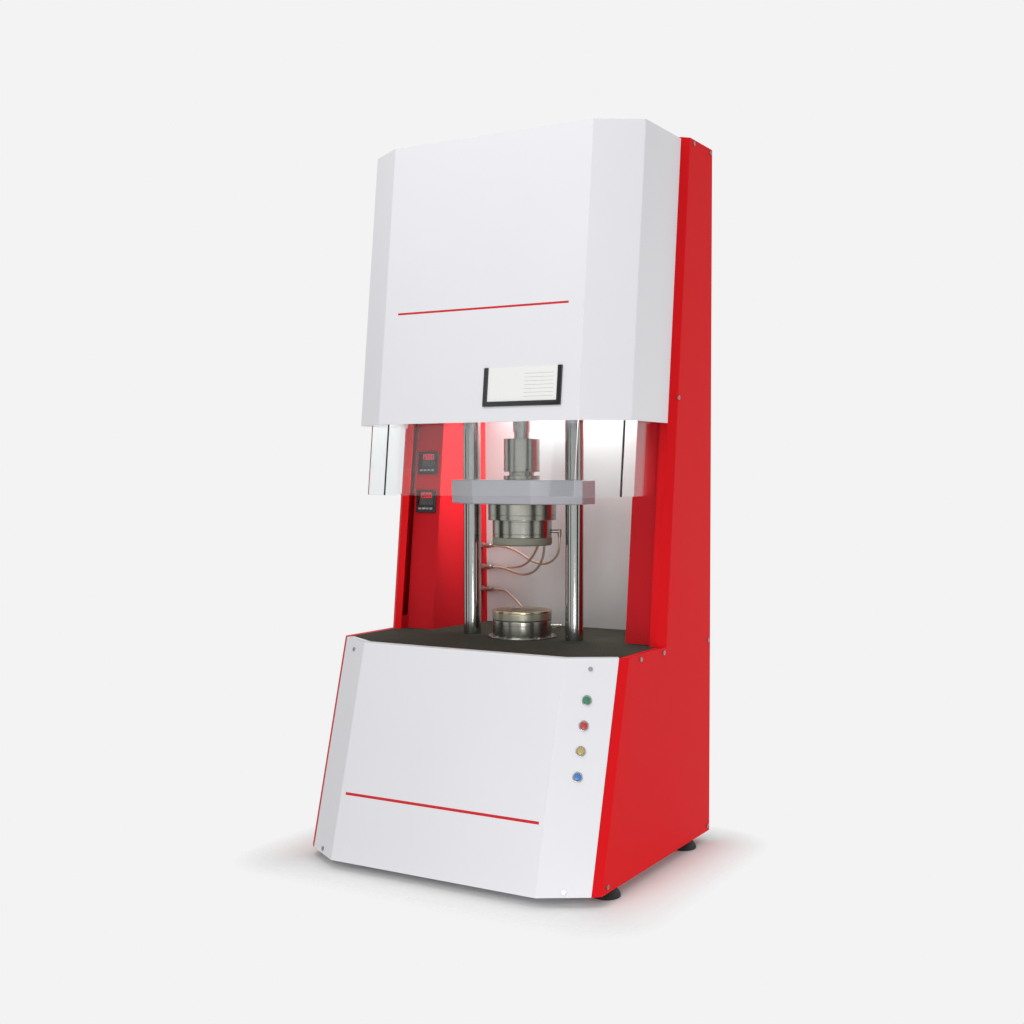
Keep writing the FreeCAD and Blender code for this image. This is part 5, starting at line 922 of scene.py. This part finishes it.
def feet():
    """Rubber feet with a tread rim."""
    profile = [(0, 0), (26, 0, 1), (26, 5, 1.5), (19, 15, 1), (16, 15), (16, 18), (0, 18)]
    made = [lathe("foot", profile, RUBBER_AND_HOLE_SHADE, centre=(x * MM, y * MM), segments=48)
            for x in (-288, 288) for y in (-150, 190)]
    carry(join("rubber_feet", made), "cabinet", "black_frame", "feet")


GLAND_Y, GLAND_BACK, GLAND_TIP = 243, -206.2, -175
GLAND_HEIGHTS = (576, 530, 482)
FITTINGS = ((3.95, 122.8), (17.0, 120.6))
ELBOW_ARM_Z, ELBOW_LEG = 618, (63.65, 96.75)


def glands():
    """Hose glands on the tower."""
    made = []
    nut, grip = GLAND_BACK + 7, GLAND_BACK + 22
    for z in GLAND_HEIGHTS:
        place = lying_place(0, GLAND_Y * MM, z * MM)
        for label, profile, sides in (
                ("nut", [(0, GLAND_BACK), (6.2, GLAND_BACK, 0.4), (6.2, nut, 0.4), (0, nut)], 6),
                ("sleeve", [(0, nut), (4.6, nut), (4.6, nut + 6), (5.5, nut + 6, 0.5), (5.5, grip, 0.5),
                            (3.6, grip + 2), (3.6, GLAND_TIP, 0.4), (0, GLAND_TIP)], 40)):
            made.append(lathe(label, profile, NICKEL, centre=(0, 0), segments=sides, place=place, sharp=30))
    carry(join("gland_set", made), "cabinet", "nickel_fittings", "hose_glands")


def fittings():
    """Two straight hose fittings and an elbow on the upper dies."""
    top = ends("torque_cell_housing")[0]
    parts = []
    for x, y in FITTINGS:
        for label, profile, sides in (
                ("nut", [(0, top - 7), (4.6, top - 7, 0.3), (4.6, top - 3, 0.3), (0, top - 3)], 6),
                ("nipple", [(0, top - 12), (3.4, top - 12, 0.4), (3.4, top - 0.1), (0, top - 0.1)], 32)):
            parts.append(lathe(label, profile, NICKEL, centre=(x * MM, y * MM), segments=sides))
    parts.append(stub("elbow_arm", [(0, 58), (3.5, 58), (3.5, 73.5), (0, 73.5)], NICKEL,
                      lying_place(0, DIE_Y, ELBOW_ARM_Z * MM, 30)))
    leg = [(0, 606), (3.3, 606, 0.3), (3.3, 609), (4, 609, 0.3), (4, 622, 2), (0, 622)]
    x, y = ELBOW_LEG
    parts.append(lathe("elbow_leg", leg, NICKEL, centre=(x * MM, y * MM), segments=32))
    carry(join("fitting_set", parts), "crosshead", "nickel_fittings", "upper_hose_fittings")


# Repeated pieces, made with geometry nodes

def node_tree(name, sizes):
    """A geometry tree with named size inputs."""
    tree = bpy.data.node_groups.new(name, "GeometryNodeTree")
    tree.interface.new_socket("Geometry", in_out="INPUT", socket_type="NodeSocketGeometry")
    for title, value in sizes:
        tree.interface.new_socket(title, in_out="INPUT", socket_type="NodeSocketFloat").default_value = value
    tree.interface.new_socket("Geometry", in_out="OUTPUT", socket_type="NodeSocketGeometry")
    start, end = tree.nodes.new("NodeGroupInput"), tree.nodes.new("NodeGroupOutput")
    return tree, start.outputs, end


def lifted(tree, shape, height, share):
    """A shape moved up by a share of a height."""
    lift = add(tree, "ShaderNodeCombineXYZ", {2: maths(tree, "MULTIPLY", height, share)}).outputs[0]
    return add(tree, "GeometryNodeTransform", {"Geometry": shape, "Translation": lift}).outputs[0]


def socket_screws(material):
    """Tree: a socket-head screw on every point, its axis along the point's facing."""
    tree, start, end = node_tree("Socket screws", [
        ("Head Radius", 4 * MM), ("Head Height", 2 * MM), ("Socket Radius", 1.7 * MM)])
    head, key = (
        add(tree, "GeometryNodeMeshCylinder", {
            "Vertices": sides, "Radius": start[radius], "Depth": start["Head Height"]}).outputs["Mesh"]
        for sides, radius in ((32, "Head Radius"), (6, "Socket Radius")))
    raised = lifted(tree, key, start["Head Height"], 0.45)
    drilled = add(tree, "GeometryNodeMeshBoolean", {"Mesh 1": head, "Mesh 2": raised},
                  operation="DIFFERENCE", solver="EXACT").outputs["Mesh"]
    seated = lifted(tree, drilled, start["Head Height"], 0.5)
    facing = add(tree, "GeometryNodeInputNamedAttribute", {"Name": "facing"}, data_type="FLOAT_VECTOR")
    turn = add(tree, "FunctionNodeAlignRotationToVector", {"Vector": facing.outputs[0]}, axis="Z")
    spread = add(tree, "GeometryNodeInstanceOnPoints", {
        "Points": start["Geometry"], "Instance": seated, "Rotation": turn.outputs[0]})
    solid = add(tree, "GeometryNodeRealizeInstances", {"Geometry": spread.outputs[0]}).outputs[0]
    painted = add(tree, "GeometryNodeSetMaterial", {"Geometry": solid, "Material": material}).outputs[0]
    tree.links.new(painted, end.inputs[0])
    return tree


def screw_set(name, tree, spots, **sizes):
    """Run the screw tree on a list of (place, facing) points and keep the plain mesh."""
    mesh = bpy.data.meshes.new(name)
    mesh.from_pydata([tuple(place) for place, facing in spots], [], [])
    facing = mesh.attributes.new("facing", "FLOAT_VECTOR", "POINT")
    for index, spot in enumerate(spots):
        facing.data[index].vector = spot[1]
    made = add_object(name, mesh)
    modifier = made.modifiers.new("Screws", "NODES")
    modifier.node_group = tree
    for item in tree.interface.items_tree:
        if item.in_out == "INPUT" and item.name in sizes:
            modifier[item.identifier] = sizes[item.name]
    settle(made)
    made.data.set_sharp_from_angle(angle=math.radians(35))
    return made


PANEL_SCREWS = (391.5, 27)
SIDE_SCREWS = ((-56.76, 401), (44, 401), (262, 401), (-189.63, 29), (262, 29), (178.26, 1362), (262, 1362),
               (109, 874))
REAR_SCREWS, REAR_SCREW_X, REAR_FACE = (29, 410, 890, 1354), 298, 271
BOLT_CIRCLE = 63


def cabinet_screws():
    """Every screw head on the cabinet's outside, and the guard ring's flange screws."""
    tree = socket_screws(ZINC)
    spots = []
    for side in (1, -1):
        for z in PANEL_SCREWS:
            place = facet_place(side * BUTTON_X, z * MM)
            spots.append((place.translation, place.to_3x3() @ Vector((0, 0, 1))))
        for y, z in SIDE_SCREWS:
            spots.append(((side * HALF_WIDTH, y * MM, z * MM), (side, 0, 0)))
        for z in REAR_SCREWS:
            spots.append(((side * REAR_SCREW_X * MM, REAR_FACE * MM, z * MM), (0, 1, 0)))
    heads = screw_set("panel_screw_heads", tree, spots)
    carry(heads, "cabinet", "screw_steel", "panel_screws")
    spots = []
    for step in range(6):
        angle, radius = math.radians(30 + 60 * step), BOLT_CIRCLE * MM
        place = (radius * math.cos(angle), DIE_Y + radius * math.sin(angle), FLANGE_TOP * MM)
        spots.append((place, (0, 0, 1)))
    bolts = screw_set("flange_screw_heads", tree, spots, **{
        "Head Radius": 2.6 * MM, "Head Height": 2.2 * MM, "Socket Radius": 1.2 * MM})
    carry(bolts, "cabinet", "screw_steel")


# Finishes of the solids that stay as they are

KEPT = (
    (DARK, "base_frame"), (BED, "bed_plate head_plate"), (MAT, "table_mat"), (WALL, "chamber_back_wall"),
    (RED, "left_side_panel right_side_panel"), (TOWER_RED_PAINTED_SHADE, "left_tower right_tower"),
    (GREY, "rear_panel base_tray top_cover electronics_box"), (ZINC, "pillar_nuts tie_rods"),
    (ALLOY, "cylinder_barrel cylinder_caps shield_rails shield_cylinders shield_carriers"),
    (STEEL, "bearing_housing shaft_bearings drive_shaft"), (MOTOR, "servo_motor"), (NICKEL, "air_inlet"),
    (BLACK, "power_inlet power_switch"), (PLATE, "crosshead_plate"), (BRONZE, "guide_bushes"),
    (CHROME, "shield_cylinder_rods"),
)


def finish_solids():
    """Give the solids that stay their materials."""
    for material, names in KEPT:
        for name in names.split():
            slots = frame["nodes"][name].data.materials
            slots.clear()
            slots.append(material)


# Studio

BACKGROUND = tone(243, 243, 243)
SOFT_LIGHT = 0.45
FLOOR, FLOOR_Z = 1.2, -0.5 * MM
SHADOW_Y, FADE = 0.24, 0.13


def world():
    """Even light, with a pale backdrop where the camera, metal or glass looks past the object."""
    made = bpy.data.worlds.new("studio")
    bpy.context.scene.world = made
    made.use_nodes = True
    tree = made.node_tree
    tree.nodes.clear()
    path = add(tree, "ShaderNodeLightPath")
    seen = maths(tree, "MAXIMUM", path.outputs["Is Camera Ray"], path.outputs["Is Glossy Ray"])
    seen = maths(tree, "MAXIMUM", seen, path.outputs["Is Transmission Ray"])
    soft = add(tree, "ShaderNodeBackground", {"Color": (1, 1, 1, 1), "Strength": SOFT_LIGHT})
    backdrop = add(tree, "ShaderNodeBackground", {"Color": BACKGROUND, "Strength": 1.0})
    mixed = add(tree, "ShaderNodeMixShader", {0: seen, 1: soft.outputs[0], 2: backdrop.outputs[0]})
    out = add(tree, "ShaderNodeOutputWorld")
    tree.links.new(mixed.outputs[0], out.inputs["Surface"])


def outside(tree, value, half):
    """How far a coordinate lies beyond a half width, or nothing inside it."""
    return maths(tree, "MAXIMUM", maths(tree, "SUBTRACT", maths(tree, "ABSOLUTE", value), half), 0.0)


def floor():
    """Pale floor that takes the object's shadow and fades into the backdrop round the cabinet."""
    made, tree, shader = matt("Studio floor", tone(250, 250, 250))
    place = add(tree, "ShaderNodeTexCoord").outputs["Object"]
    parts = add(tree, "ShaderNodeSeparateXYZ", {0: place}).outputs
    reach = add(tree, "ShaderNodeCombineXYZ", {
        0: outside(tree, parts[0], HALF_WIDTH), 1: outside(tree, parts[1], SHADOW_Y)}).outputs[0]
    far = add(tree, "ShaderNodeVectorMath", {0: reach}, operation="LENGTH").outputs["Value"]
    fade = remap(tree, far, 0.0, FADE, 0.0, 1.0)
    clear = add(tree, "ShaderNodeBsdfTransparent")
    mixed = add(tree, "ShaderNodeMixShader", {0: fade, 1: shader.outputs[0], 2: clear.outputs[0]})
    tree.links.new(mixed.outputs[0], tree.nodes["Material Output"].inputs["Surface"])
    ground = build("studio_floor", [(x, y, 0) for x, y in rectangle(-FLOOR, FLOOR, -FLOOR, FLOOR)],
                   [(0, 1, 2, 3)], made)
    ground.data.transform(Matrix.Translation((0, 0, FLOOR_Z)))


def softbox(name, place, aim, wide, high, power, spread=180):
    """Rectangular studio lamp aimed at a point, with its beam's spread in degrees."""
    data = bpy.data.lights.new(name, "AREA")
    data.shape = "RECTANGLE"
    data.size, data.size_y, data.energy = wide, high, power
    data.spread = math.radians(spread)
    lamp = add_object(name, data)
    lamp.location = place
    lamp.rotation_euler = (Vector(aim) - Vector(place)).to_track_quat("-Z", "Y").to_euler()
    lamp.visible_camera = lamp.visible_transmission = False


def flag(name, place, wide, high, material):
    """Dark card seen only in reflections and through the shield, as photographers stand beside chrome."""
    corners = rectangle(-wide / 2, wide / 2, -high / 2, high / 2)
    card = build(name, [(x, 0, z) for x, z in corners], [(0, 1, 2, 3)], material)
    facing = Vector((place[0], place[1], 0)).to_track_quat("Y", "Z").to_matrix().to_4x4()
    card.data.transform(Matrix.Translation(place) @ facing)
    for ray in ("camera", "diffuse", "volume_scatter", "shadow"):
        setattr(card, "visible_" + ray, False)


def studio():
    """Backdrop, floor, lamps and dark cards."""
    world()
    floor()
    softbox("front_softbox", (0.5, -3.4, 1.8), (0, 0, 0.8), 2.0, 2.0, 33)
    softbox("top_softbox", (-0.1, -1.2, 2.3), (0, 0, 1.2), 0.8, 0.5, 9)
    softbox("side_softbox", (2.6, 1.5, 0.4), (0.3, 0, 0.6), 1.0, 1.0, 26)
    softbox("low_softbox", (0.9, -1.3, 0.15), (0.26, -0.1, 0.2), 0.4, 0.4, 4.6)
    softbox("chamber_lamp", (0.03, 0.22, 0.93), (0.03, 0.24, 0.4), 0.36, 0.03, 2.0)
    softbox("tower_lamp", (0.0, 0.11, 0.95), (-0.25, 0.16, 0.6), 0.08, 0.08, 0.25, spread=70)
    black = matt("Black flag", tone(56, 60, 54))[0]
    flag("left_flag", (-1.6, -0.9, 0.7), 0.8, 2.4, black)
    flag("front_flag", (-0.7, -2.0, 0.8), 0.35, 2.4, black)
    flag("right_flag", (2.3, -0.9, 0.9), 0.8, 2.6, black)


hoses()
hood()
front_panel()
stripe("hood_stripe", 1036.5 * MM, 186 * MM, 4 * MM, hood_front, LEAN)
stripe("base_stripe", 134 * MM, 206 * MM, 5 * MM, base_front, BASE_SLOPE)
shield()
label()
for title in CONTROLLER_HEIGHTS:
    controller(title)
buttons()
pillars()
coupling_and_rod()
upper_dies()
lower_dies()
feet()
glands()
fittings()
cabinet_screws()
finish_solids()
studio()

bpy.context.scene.view_settings.view_transform = "Standard"
